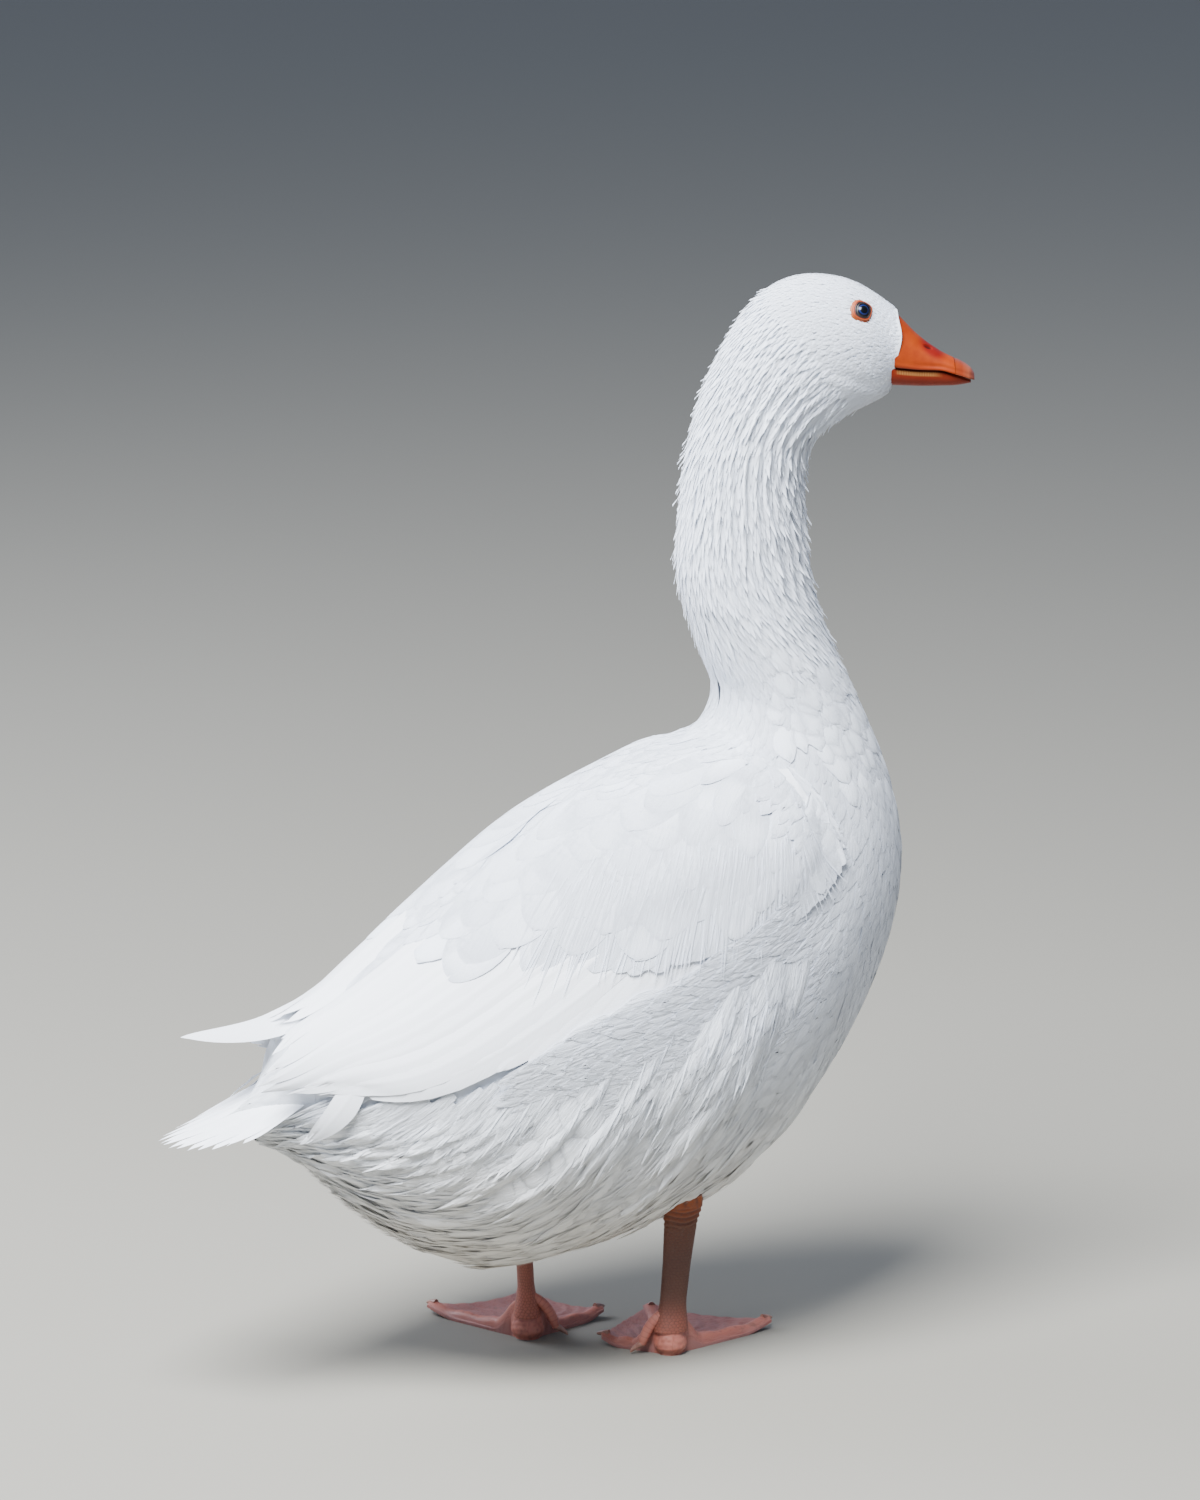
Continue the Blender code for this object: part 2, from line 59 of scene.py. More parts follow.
# ---- The skin. One seamless sheet of skin from the rump to the bill, drawn over trunk, folded wings,
# neck and head, with the two feathered thighs let into it. It lies a coat's depth inside the bird's
# outline, thin and in the coat's own white, and shows only where the coat parts.

TAIL_END = -0.345
SHIFT = float(cad_low[0]) - TAIL_END
NECK_AXIS, HEAD_TURN, TURN_FROM, TURN_TO = 0.12, math.radians(-27), 0.46, 0.69
EGG = 0.10
SECTIONS = np.array([  # back x and z, belly x and z, half-width, share of EGG
    (-0.342, 0.266, -0.342, 0.218, 0.044, 0.0),  # 0 over the tail
    (-0.252, 0.268, -0.256, 0.182, 0.048, 0.3),  # 1 tail root
    (-0.186, 0.305, -0.187, 0.116, 0.090, 0.6),  # 2 rump
    (-0.095, 0.371, -0.090, 0.078, 0.121, 1.0),  # 3 paunch
    (-0.018, 0.419, 0.028, 0.096, 0.129, 1.0),  # 4 flank
    (0.045, 0.443, 0.128, 0.146, 0.123, 0.7),  # 5 shoulder
    (0.089, 0.455, 0.208, 0.244, 0.101, 0.3),  # 6 breast
    (0.102, 0.476, 0.243, 0.350, 0.075, 0.0),  # 7 crop
    (0.098, 0.506, 0.217, 0.452, 0.056, 0.0),  # 8 neck base
    (0.072, 0.556, 0.177, 0.539, 0.045, 0.0),  # 9 low on the neck
    (0.069, 0.611, 0.165, 0.604, 0.041, 0.0),  # 10 middle of the neck
    (0.078, 0.665, 0.165, 0.655, 0.039, 0.0),  # 11 top of the neck
    (0.099, 0.729, 0.186, 0.681, 0.036, 0.0),  # 12 nape
    (0.138, 0.781, 0.208, 0.693, 0.033, 0.0),  # 13 cheek
    (0.183, 0.789, 0.220, 0.699, 0.029, 0.0),  # 14 eye
    (0.2115, 0.778, 0.226, 0.704, 0.023, 0.0),  # 15 brow
    (0.231, 0.764, 0.228, 0.709, 0.0185, 0.0),  # 16 bill root
])


def spline(rows):
    """The natural cubic spline through rows at 0, 1, 2..., as a function of where along it."""
    rows = np.asarray(rows, float)
    n = len(rows)
    system = np.diag(np.full(n, 4.0)) + np.diag(np.ones(n - 1), 1) + np.diag(np.ones(n - 1), -1)
    system[0, 0] = system[-1, -1] = 2.0
    steps = np.empty_like(rows)
    steps[1:-1] = 3 * (rows[2:] - rows[:-2])
    steps[0], steps[-1] = 3 * (rows[1] - rows[0]), 3 * (rows[-1] - rows[-2])
    slopes = np.linalg.solve(system, steps)

    def at(where):
        where = np.asarray(where, float)
        first = np.clip(np.floor(where).astype(int), 0, n - 2)
        t = (where - first)[..., None]
        a, b, da, db = rows[first], rows[first + 1], slopes[first], slopes[first + 1]
        return a + da * t + (3 * (b - a) - 2 * da - db) * t**2 + (2 * (a - b) + da + db) * t**3

    return at


def straight(table, where):
    """A table of (place, value) rows read at where, straight from row to row."""
    places, values = np.array(table).T
    return np.interp(where, places, values)


def eased(low, high, value):
    """0 below low, 1 above high, and the smooth cubic 3t^2 - 2t^3 between."""
    t = np.clip((value - low) / (high - low), 0, 1)
    return t * t * (3 - 2 * t)


section_at = spline(SECTIONS)


def turned(points):
    """Neck and head points swung about the neck's upright axis, by more the higher they are."""
    angle = HEAD_TURN * eased(TURN_FROM, TURN_TO, points[..., 2])
    x, y = points[..., 0] - NECK_AXIS, points[..., 1]
    ahead = NECK_AXIS + x * np.cos(angle) - y * np.sin(angle)
    return np.stack([ahead, x * np.sin(angle) + y * np.cos(angle), points[..., 2]], -1)


def on_body(along, angle):
    """The outline's surface: an ellipse between back and belly, a little wider low down.

    along counts the sections, and angle runs from the back (0) round the left side to the belly.
    """
    back_x, back_z, belly_x, belly_z, half, egg = np.moveaxis(section_at(along), -1, 0)
    lift = np.cos(angle)
    x = (back_x + belly_x) / 2 + (back_x - belly_x) / 2 * lift
    z = (back_z + belly_z) / 2 + (back_z - belly_z) / 2 * lift
    return turned(np.stack([x, half * np.sin(angle) * (1 - EGG * egg * lift), z], -1))


def tangents(on, a, b, step=1e-3):
    """How a surface runs along a and b, by differences, and its outward unit normal."""
    run_a = (on(a + step, b) - on(a - step, b)) / (2 * step)
    run_b = (on(a, b + step) - on(a, b - step)) / (2 * step)
    out = np.cross(run_a, run_b)
    return run_a, run_b, out / np.linalg.norm(out, axis=-1, keepdims=True)


def off_body(along, angle, height):
    """A point at some height straight out of the outline's surface."""
    along, angle, height = np.broadcast_arrays(along, angle, height)
    return on_body(along, angle) + tangents(on_body, along, angle)[2] * height[..., None]


def folded(angle):
    """The angle round the body, from -pi to pi."""
    return (angle + math.pi) % math.tau - math.pi


# The folded wings, front to tip: where along the body, and their upper and lower edge in degrees.
WING_EDGES = {
    "R": ((6.35, 40, 60), (5.9, 20, 73), (5, 11, 77), (4, 8, 79), (3, 5, 80), (2, 3, 79),
          (1.4, 3, 72), (0.92, 14, 76), (0.42, 58, 88)),
    "L": ((6.35, 40, 60), (5.9, 20, 73), (5, 11, 77), (4, 8, 79), (3, 5, 80), (2, 3, 79),
          (1.4, 3, 68), (0.85, 3, 54), (0.10, 9, 26)),
}


def under_wing(along, angle, soft=4.0):
    """1 where a folded wing covers the side, fading out over a few degrees at its edges."""
    degrees = np.degrees(abs(folded(angle)))
    at, upper, lower = np.array(WING_EDGES["R"][:7])[::-1].T
    high, low = np.interp(along, at, upper), np.interp(along, at, lower)
    inside = eased(high - soft, high + soft, degrees) * (1 - eased(low - soft, low + soft, degrees))
    return inside * (1 - eased(5.9, 6.4, along)) * eased(0.9, 1.5, along)


def coat_depth(along):
    """How far the skin lies inside the outline: 2.4 mm on trunk and neck, thinning to 0.6 by the bill."""
    return np.interp(along, (1, 9, 12, 13.2, 16), (0.0024, 0.0026, 0.0020, 0.0010, 0.0006))


HEAD_AHEAD = np.array((0.891, -0.454, 0.0))


def on_face(along, angle):
    """The outline again, but its last part reaches 3.4 mm forward at mid-height, over the bill's
    root, as exp(-((angle - 1.25) / 0.5)^2)."""
    angle = folded(angle)
    reach = 0.0034 * np.exp(-(((abs(angle) - 1.25) / 0.5) ** 2)) * np.clip((along - 15.3) / 0.7, 0, 1) ** 2
    return on_body(along, angle) + reach[..., None] * HEAD_AHEAD


def linear(code):
    """A colour given as sRGB hex, turned to the linear light that shaders use."""
    parts = np.array([int(code[i:i + 2], 16) for i in (1, 3, 5)]) / 255
    light = np.where(parts <= 0.04045, parts / 12.92, ((parts + 0.055) / 1.055) ** 2.4)
    return (*light.tolist(), 1.0)


def new_material(name, **settings):
    """A Principled material under a plain name, with the shader's own values set, and the function
    that adds one node to it."""
    made = bpy.data.materials.new(name)
    made.use_nodes = True
    tree = made.node_tree

    def add(kind, settings=(), links=()):
        """One shader node, or the Principled shader that is there already: settings are properties
        or input values, links are (input, from socket)."""
        node = tree.nodes["Principled BSDF"] if kind == "Principled" else tree.nodes.new("ShaderNode" + kind)
        for key, value in dict(settings).items():
            if isinstance(key, str) and hasattr(node, key):
                setattr(node, key, value)
            else:
                node.inputs[key].default_value = value
        for key, source in dict(links).items():
            tree.links.new(source, node.inputs[key])
        return node

    add("Principled", {key.replace("_", " "): value for key, value in settings.items()})
    return made, add


def ramp(node, *stops):
    """Fills a colour ramp with (place, hex colour) stops, and gives its colour."""
    band = node.color_ramp
    while len(band.elements) > 1:
        band.elements.remove(band.elements[-1])
    band.elements[0].position, band.elements[0].color = stops[0][0], linear(stops[0][1])
    for place, code in stops[1:]:
        band.elements.new(place).color = linear(code)
    return node.outputs["Color"]


def add_piece(name, points, faces, material, nodes=(), maps=(), values=(), sharp=50):
    """Makes a piece that rides on the goose, in place of the named nodes of its solids.

    Each array of faces has one row of point numbers for each face. maps are UV maps and values are
    float attributes, both given point by point. Edges bent by more than sharp degrees stay hard.
    """
    points = np.asarray(points, float).reshape(-1, 3) + (SHIFT, 0, 0)
    loops = np.concatenate([np.asarray(part).reshape(-1) for part in faces]).astype(np.int32)
    sizes = np.concatenate([np.full(len(part), np.asarray(part).shape[1]) for part in faces])
    mesh = bpy.data.meshes.new(name)
    mesh.vertices.add(len(points))
    mesh.vertices.foreach_set("co", points.reshape(-1))
    mesh.loops.add(len(loops))
    mesh.loops.foreach_set("vertex_index", loops)
    mesh.polygons.add(len(sizes))
    mesh.polygons.foreach_set("loop_start", np.concatenate([[0], np.cumsum(sizes)[:-1]]).astype(np.int32))
    mesh.update(calc_edges=True)
    for key, flat in dict(maps).items():
        layer = mesh.uv_layers.new(name=key)
        layer.data.foreach_set("uv", np.asarray(flat, float).reshape(-1, 2)[loops].reshape(-1))
    for key, value in dict(values).items():
        made = mesh.attributes.new(key, "FLOAT", "POINT")
        made.data.foreach_set("value", np.asarray(value, float).reshape(-1))
    mesh.materials.append(material)
    mesh.shade_smooth()
    mesh.set_sharp_from_angle(angle=math.radians(sharp))
    piece = bpy.data.objects.new(name, mesh)
    bpy.context.scene.collection.objects.link(piece)
    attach(piece, "root")
    if nodes:
        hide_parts(*nodes)


def tube_faces(rings, around, first=0, turned_over=False):
    """Quads round a tube of rings, and one flat face over each end, turned over where they must be so
    that all face outwards."""
    near = np.arange(around)
    far = np.roll(near, -1)
    start = (np.arange(rings - 1) * around)[:, None]
    quads = np.stack([near + start, far + start, far + start + around, near + start + around], -1)
    ends = np.stack([near[::-1], near + (rings - 1) * around])
    faces = [quads.reshape(-1, 4) + first, ends + first]
    return [part[:, ::-1] for part in faces] if turned_over else faces


skin_along = np.linspace(1.0, 16, 300)[:, None]
skin_angle = np.linspace(0, math.tau, 180, endpoint=False)[None, :]
# Under the folded wings the skin stands 2 mm higher, close below their feathers.
skin_level = 0.0020 * under_wing(skin_along, skin_angle, 9.0) - coat_depth(skin_along)
skin_points = off_body(skin_along, skin_angle, skin_level)
skin_points = skin_points + on_face(skin_along, skin_angle) - on_body(skin_along, skin_angle)

# The tail's stump: the first ring drawn in towards the fan's root.
STUMP, STUMP_TAPER = (-0.055, 0.0, -0.018), 2.4
rump = skin_points[:1]
stump_share = np.linspace(0.9, 0.1, 10)[:, None, None]
stump_centre = rump.mean(1, keepdims=True) + (1 - stump_share) * STUMP
stump = (stump_centre + (rump - rump.mean(1, keepdims=True)) * stump_share**STUMP_TAPER)[::-1]
skin_points = np.concatenate([stump, skin_points])

LEGS = {
    "R": {"heel": (0.030, -0.054), "hock": (0.041, -0.0535), "knee": (0.034, -0.078),
          "yaw": math.radians(70), "shank_yaw": math.radians(-10), "spread": 57, "inner": 1,
          "toes": (0.055, 0.098, 0.097)},
    "L": {"heel": (-0.045, 0.030), "hock": (-0.044, 0.044), "knee": (-0.030, 0.078),
          "yaw": math.radians(64), "shank_yaw": math.radians(62), "spread": 47, "inner": -1,
          "toes": (0.076, 0.098, 0.097)},
}
ANKLE_UP, HOCK_UP, KNEE_UP, THIGH_YAW = 0.021, 0.117, 0.200, 0.3
THIGH = ((0.0, 0.0120, 0.0140), (0.25, 0.020, 0.024), (0.6, 0.034, 0.040), (0.88, 0.036, 0.042),
         (1.0, 0.020, 0.024))
SHANK = ((0.0, 0.0068, 0.0098), (0.15, 0.0062, 0.0098), (0.5, 0.0062, 0.0107), (0.8, 0.0072, 0.0126),
         (0.93, 0.0098, 0.0156), (1.0, 0.0094, 0.0150))


def limb(table, foot, head, yaw, inset=0.0):
    """The surface of a limb: level ellipses up a straight line, their sizes read from a table."""
    at, widths, depths = np.array(table).T
    foot, head = np.asarray(foot), np.asarray(head)

    def on_limb(share, turn):
        wide, deep = np.interp(share, at, widths) - inset, np.interp(share, at, depths) - inset
        centre = foot + share[..., None] * (head - foot)
        ahead, aside = deep * np.cos(turn), wide * np.sin(turn)
        x = centre[..., 0] + ahead * math.cos(yaw) - aside * math.sin(yaw)
        y = centre[..., 1] + ahead * math.sin(yaw) + aside * math.cos(yaw)
        return np.stack(np.broadcast_arrays(x, y, centre[..., 2]), -1)

    return on_limb


def thigh_of(side, inset=0.0):
    """The surface of one thigh, from the hock up to the knee."""
    leg = LEGS[side]
    return limb(THIGH, (*leg["hock"], HOCK_UP + 0.0003), (*leg["knee"], KNEE_UP), THIGH_YAW, inset)


skin_faces = tube_faces(*skin_points.shape[:2], turned_over=True)
skin_parts = [skin_points.reshape(-1, 3)]
for side in "RL":
    share = np.linspace(0, 1, 24)[:, None]
    thigh = thigh_of(side, 0.002)(share, np.linspace(0, math.tau, 40, endpoint=False)[None, :])
    skin_faces += tube_faces(24, 40, sum(len(part) for part in skin_parts))
    skin_parts.append(thigh.reshape(-1, 3))
skin_points = np.concatenate(skin_parts)

# White plumage: keratin barbs full of air, matt and very light, that scatter light as snow does.
# The vanes' fine barbs catch it as faint slanting lines, drawn here 1.2 mm apart so that they show.
# Low on the belly and behind the legs it is stained a little by the ground; lower down its colour is also
# painted darker and warmer as shade, and higher up lighter and bluer as sky light.

def feathers(name, barb_relief, strand_relief):
    """A white feather: its barbs catch the light as fine slanting lines and, where they are loose,
    as wavy strands 3 mm apart. Mud and painted shade warm and darken the white towards the ground,
    and painted sky light makes it lighter and bluer higher up."""
    made, add = new_material(
        name, Roughness=0.75, Sheen_Weight=0.10, Sheen_Roughness=0.5, Specular_IOR_Level=0.25,
        Subsurface_Weight=0.35, Subsurface_Scale=0.003, Subsurface_Radius=(1.0, 0.95, 0.9),
    )
    place = add("TexCoord").outputs["Object"]
    up = add("SeparateXYZ", {}, {0: place}).outputs["Z"]
    cloud = add("TexNoise", {"Scale": 26.0, "Detail": 3.0}, {"Vector": place}).outputs["Fac"]
    low = add("Math", {"operation": "MULTIPLY_ADD", 1: 0.06}, {0: cloud, 2: up}).outputs[0]
    height = add("MapRange", {"From Min": 0.10, "From Max": 0.30}, {"Value": low}).outputs[0]
    # Painted light in the colour: darker and warmer low down as shade, lighter and bluer higher up as sky
    # light, over a little real ground stain.
    stain_and_painted_shade = ramp(
        add("ValToRGB", {}, {"Fac": height}),
        (0.0, "#D0C8BC"), (0.3, "#DEDCD8"), (0.7, "#E9ECF0"), (1.0, "#EEF3FC"),
    )
    tone = add("Attribute", {"attribute_name": "tone"}).outputs["Fac"]
    shade = add("MapRange", {"To Min": 0.96, "To Max": 1.0}, {"Value": tone}).outputs[0]
    multiply = {"data_type": "RGBA", "blend_type": "MULTIPLY", "Factor": 1.0}
    toned = add("Mix", multiply, {6: stain_and_painted_shade, 7: shade}).outputs[2]
    vane = add("UVMap", {"uv_map": "Vane"}).outputs[0]
    barbs = add("TexNoise", {"Scale": 1.0, "Detail": 2.0, "Roughness": 0.6}, {"Vector": vane}).outputs["Fac"]
    combed = add("Mapping", {"Scale": (0.05, 2.2, 1.0)}, {"Vector": vane}).outputs[0]
    strands = add("TexNoise", {"Scale": 1.0, "Detail": 3.0, "Distortion": 0.6}, {"Vector": combed})
    fine = add("Bump", {"Strength": 0.5, "Distance": barb_relief}, {"Height": barbs}).outputs[0]
    both = {"Height": strands.outputs["Fac"], "Normal": fine}
    broad = add("Bump", {"Strength": 0.6, "Distance": strand_relief}, both).outputs[0]
    add("Principled", {}, {"Base Color": toned, "Normal": broad})
    return made


plumage = feathers("white contour feathers, preened", 0.0004, 0.0007)
loose = feathers("white belly feathers, loose barbed", 0.0004, 0.0020)

add_piece(
    "skin", skin_points, skin_faces, plumage,
    ("head", "neck_lower", "neck_upper", "trunk", "thigh_R", "thigh_L", "wing_R", "wing_L"),
)

# ---- The coat of contour feathers. Each is a thin closed vane, arched across and flat below, that
# grows out of the skin, lies back along the body and covers the roots behind it.

BARB = 0.0012
PATCH = 0.003


def carried(run_a, run_b, vector):
    """How far a and b move for a small step over a surface: the two-by-two system of its tangents."""
    aa, ab, bb = (run_a * run_a).sum(-1), (run_a * run_b).sum(-1), (run_b * run_b).sum(-1)
    av, bv = (run_a * vector).sum(-1), (run_b * vector).sum(-1)
    whole = aa * bb - ab * ab
    return (bb * av - ab * bv) / whole, (aa * bv - ab * av) / whole


def unwrap_body(along, angle):
    """The skin's unwrap: sections along the map and the way round it upwards."""
    return 0.03 + 0.94 * along / 16, 0.5 + 0.47 * folded(angle) / math.pi


def centre_lines(on, a, b, u, length, down, bend):
    """Where each feather's middle runs: from its root it steps back over the surface, turned by down
    towards the belly at the root and by a further bend at the tip. u is the share of its length."""
    at_a, at_b = [a], [b]
    for step in range(len(u) - 1):
        run_a, run_b, out = tangents(on, at_a[-1], at_b[-1])
        back = -run_a / np.linalg.norm(run_a, axis=-1, keepdims=True)
        turn = (-np.sign(b) * (down + bend * u[step]))[:, None]
        way = back * np.cos(turn) + np.cross(out, back) * np.sin(turn)
        go_a, go_b = carried(run_a, run_b, way * (length * (u[step + 1] - u[step]))[:, None])
        at_a.append(at_a[-1] + go_a)
        at_b.append(at_b[-1] + go_b)
    return np.stack(at_a, 1), np.stack(at_b, 1)


def vanes(on, a, b, length=0.0, half=0.01, down=0.0, bend=0.0, ends=None, bow=0.0, sink=0.0008, lift=0.0003,
          camber=0.01, twist=0.0, shaft=0.0, tip=(3.5, 2.0), root=0.35, rag=0.0, wave=0.0, rows=9, columns=9,
          level=None, unwrap=unwrap_body, seed=1):
    """Closed vanes laid over a surface, all arrays at once, as points, faces, maps and tones.

    The centre lines run back from their roots (a, b), or straight to their ends with a sideways bow.
    Across them a vane is half * outline wide, where outline = (root to 1, eased) * (1 - u^p)^(1/q).
    Its height over the surface is level - sink (1 - u)^1.4 + lift u^2 + camber * width * (1 - v^2)
    + twist * v * width, eased in from the root, and a ridge for the shaft. rag cuts the barbs at the
    tip short by chance, and wave lets the edges ripple.
    """
    chance = np.random.default_rng(seed)
    count = len(a)
    half, down, bend, sink, lift = (np.full(count, 1.0) * part for part in (half, down, bend, sink, lift))
    tones = chance.random(count)
    curve = bend + chance.normal(0, 0.04, count)
    u = np.sin(np.linspace(0, 1, rows) * math.pi / 2) ** 0.9
    v = np.linspace(-1, 1, columns)
    if shaft:
        v = np.sign(v) * abs(v) ** 1.5
    if ends is None:
        at_a, at_b = centre_lines(on, a, b, u, np.full(count, 1.0) * length, down, curve)
    else:
        at_a = a[:, None] + (ends[0] - a)[:, None] * u
        at_b = b[:, None] + (ends[1] - b)[:, None] * (u + bow * u * (1 - u))
    lines = on(at_a, at_b)
    length = np.linalg.norm(np.diff(lines, axis=1), axis=-1).sum(1)
    run_a, run_b, outs = tangents(on, at_a, at_b)
    back = np.gradient(lines, axis=1)
    back = back - outs * (back * outs).sum(-1, keepdims=True)
    back /= np.linalg.norm(back, axis=-1, keepdims=True)
    across = carried(run_a, run_b, np.cross(outs, back))
    backs = carried(run_a, run_b, back)
    outline = (root + (1 - root) * eased(0, 0.45, u)) * np.maximum(1 - u ** tip[0], 4e-4) ** (1 / tip[1])
    ripple = wave * np.sin(
        u[None, :, None] * chance.uniform(8, 14, count)[:, None, None]
        + chance.uniform(0, math.tau, (count, 1, 1)) + 1.5 * v
    ) * u[None, :, None]
    width = (half[:, None] * outline)[:, :, None]
    wide = v * width * (1 + ripple)
    cut = rag * chance.random((count, 1, columns)) * (u[:, None] ** 3) * length[:, None, None]
    final_a = at_a[:, :, None] + across[0][:, :, None] * wide - backs[0][:, :, None] * cut
    final_b = at_b[:, :, None] + across[1][:, :, None] * wide - backs[1][:, :, None] * cut
    height = (lift[:, None] * u**2 - sink[:, None] * (1 - u) ** 1.4)[:, :, None]
    height = height + width * (camber * (1 - v**2) + twist * v * eased(0, 0.7, u)[:, None])
    height = height + shaft * ((1 - 0.8 * u)[:, None] * np.exp(-((v / 0.1) ** 2)))
    height = height + chance.normal(0, 0.00008, count)[:, None, None]
    if level is not None:
        height = height + level(final_a, final_b)
    points = on(final_a, final_b) + outs[:, :, None] * height[..., None]
    first = (np.arange(count) * rows * columns)[:, None, None]
    cell = (np.arange(rows - 1) * columns)[:, None] + np.arange(columns - 1)
    top = (first + cell)[..., None] + (0, columns, columns + 1, 1)
    line = (np.arange(rows - 1) * columns)[:, None]
    under = first + line + np.array((0, columns - 1, 2 * columns - 1, columns))
    begin = first[:, 0] + np.arange(columns)
    end = first[:, 0] + (rows - 1) * columns + np.arange(columns)[::-1]
    root_u, root_v = unwrap(a, b)
    patch = np.stack(np.broadcast_arrays(
        root_u[:, None, None] + PATCH * (u[None, :, None] - 0.5), root_v[:, None, None] + PATCH * v / 2
    ), -1)
    run = u[None, :, None] * length[:, None, None] - 1.1 * abs(wide)
    own = tones[:, None, None]
    weave = np.stack([run / BARB + 40 * own, 1.5 * wide / 0.01 + 9 * own], -1)
    tone = np.broadcast_to(own, at_a.shape + (columns,))
    return points.reshape(-1, 3), [top.reshape(-1, 4), under.reshape(-1, 4), begin, end], patch, weave, tone


def coat(name, groups, material=plumage, nodes=()):
    """Joins groups of vanes into one coat piece."""
    faces, offset = [], 0
    for points, parts, *_ in groups:
        faces += [part + offset for part in parts]
        offset += len(points)
    flat = [np.concatenate([np.asarray(group[i]).reshape(-1, 2) for group in groups]) for i in (2, 3)]
    tone = np.concatenate([np.asarray(group[4]).reshape(-1) for group in groups])
    points = np.concatenate([group[0] for group in groups])
    maps = {"OFBake": flat[0], "Vane": flat[1]}
    add_piece(name, points, faces, material, nodes, maps, {"tone": tone})


def roots_on(on, first, last, low, high, across, apart, seed, jitter=0.22):
    """Roots in columns over a surface, evenly spaced down each and staggered from one to the next.

    across and apart are the wanted spaces in metres. The columns run from b = low to high, and each
    is walked from a = last back to first by its own length. Gives a, b and the local column space.
    """
    chance = np.random.default_rng(seed)
    fine = np.linspace(first, last, 240)[:, None]
    middle = np.linspace(low, high, 200)[None, :]
    girth = np.linalg.norm(np.diff(on(fine, middle), axis=1), axis=-1).sum(1).mean()
    columns = max(2, int(round(girth / across)))
    b = low + (np.arange(columns) + 0.5) * (high - low) / columns
    lines = on(fine, np.broadcast_to(b, (1, columns)))
    steps = np.linalg.norm(np.diff(lines, axis=0), axis=-1)
    walked = np.concatenate([np.zeros((1, columns)), np.cumsum(steps, 0)])
    roots = []
    for number in range(columns):
        total = walked[-1, number]
        stops = np.arange(total - (0.5 + 0.5 * (number % 2)) * apart, 0, -apart)
        stops = stops + chance.normal(0, jitter * apart, len(stops))
        a = np.interp(stops, walked[:, number], fine[:, 0])
        shaken = b[number] + chance.normal(0, jitter, len(stops)) * (high - low) / columns
        roots.append(np.stack([a, shaken]))
    a, b_all = np.concatenate(roots, 1)
    space = np.linalg.norm(tangents(on, a, b_all)[1], axis=-1) * abs(high - low) / columns
    return a, b_all, space


def drift(x, y, seed, turns=64):
    """Smooth chance from -1 to 1: values on a unit lattice blended by 3t^2 - 2t^3; y wraps by turns."""
    table = np.random.default_rng(seed).uniform(-1, 1, (64, turns))
    i, j = np.floor(x).astype(int), np.floor(y).astype(int)
    s, t = x - i, y - j
    s, t = s * s * (3 - 2 * s), t * t * (3 - 2 * t)
    low = table[i % 64, j % turns] * (1 - s) + table[(i + 1) % 64, j % turns] * s
    high = table[i % 64, (j + 1) % turns] * (1 - s) + table[(i + 1) % 64, (j + 1) % turns] * s
    return low * (1 - t) + high * t


# ---- The head's coat: a velvet of tiny feathers, the smallest of all, hardly lifted. They leave the
# eyelids bare and sink into a furrow behind the cheek.

EYE_ALONG, EYE_ROUND, EYE_RADIUS, EYE_OUT = 14.49, math.radians(56), 0.0082, 0.0024
SIDES = (("R", -1), ("L", 1))
EYES = {side: off_body(EYE_ALONG, way * EYE_ROUND, 0.0) for side, way in SIDES}


def off_eyes(points, reach):
    """True where points are further than reach from both eyes."""
    return np.all([np.linalg.norm(points - EYES[side], axis=-1) > reach for side in "RL"], axis=0)


a, b, space = roots_on(on_body, 12.9, 15.985, -math.pi, math.pi, 0.0019, 0.0024, 11)
clear = off_eyes(on_body(a, b), 0.0082)
a, b, space = a[clear], b[clear], space[clear]
short = np.interp(a, (12.9, 13.6, 15, 16), (0.0080, 0.0066, 0.0056, 0.0040))
JOWL = ((12.4, 72), (12.65, 85), (12.9, 106), (13.34, 128), (14.0, 139), (14.76, 140), (15.94, 119))


def jowl(along, angle):
    """The soft furrow that runs from behind the cheek round under the jaw, under 1 mm deep."""
    line = straight(JOWL, along)
    off = (np.degrees(abs(folded(angle))) - line) / 10
    deep = eased(12.3, 12.8, along) * (1 - 0.6 * eased(14.5, 15.9, along))
    return deep * (0.0005 * np.exp(-((off - 1.5) ** 2)) - 0.0008 * np.exp(-(off**2)))


lift = np.interp(a, (12.9, 14, 16), (0.0003, 0.00012, 0.0001))
coat("head_coat", [vanes(
    on_face, a, b, short, 0.74 * space, sink=0.0006, lift=lift, camber=0.06, tip=(2.4, 1.5), rag=0.10,
    rows=4, columns=3, level=jowl, seed=12,
)])

# ---- The neck's coat: narrow pointed feathers whose tips lean together in pleats, as they do on
# every goose of this kind. The pleats are deepest on the sides and front and fade at both ends.

PLEATS = 30


def nape_rise(along, angle):
    """How much the coat fills the bend between neck and back, and how close it lies above that."""
    nape = 1 - eased(0.2, 1.0, abs(folded(angle)))
    fill = 0.0065 * np.exp(-(((along - 8.05) / 0.6) ** 2))
    return nape * (fill - 0.0025 * np.exp(-(((along - 9.9) / 0.9) ** 2)))


def pleat(along, angle):
    """Ridges down the neck: 1 - |sin| of half the pleat number times a wandering angle."""
    wander = angle + 0.09 * drift(2.2 * along, 12 * angle / math.tau, 3, 12)
    ridge = 1 - abs(np.sin(PLEATS / 2 * wander)) ** 1.2
    front = 0.35 + 0.65 * eased(0.5, 1.5, abs(folded(angle)))
    deep = eased(7.9, 9.8, along) * (1 - eased(11.9, 12.8, along)) * front
    patchy = 0.7 + 0.3 * drift(3.0 * along, 10 * angle / math.tau, 4, 10)
    return 0.0032 * deep * patchy * (ridge - 0.75) + nape_rise(along, angle)


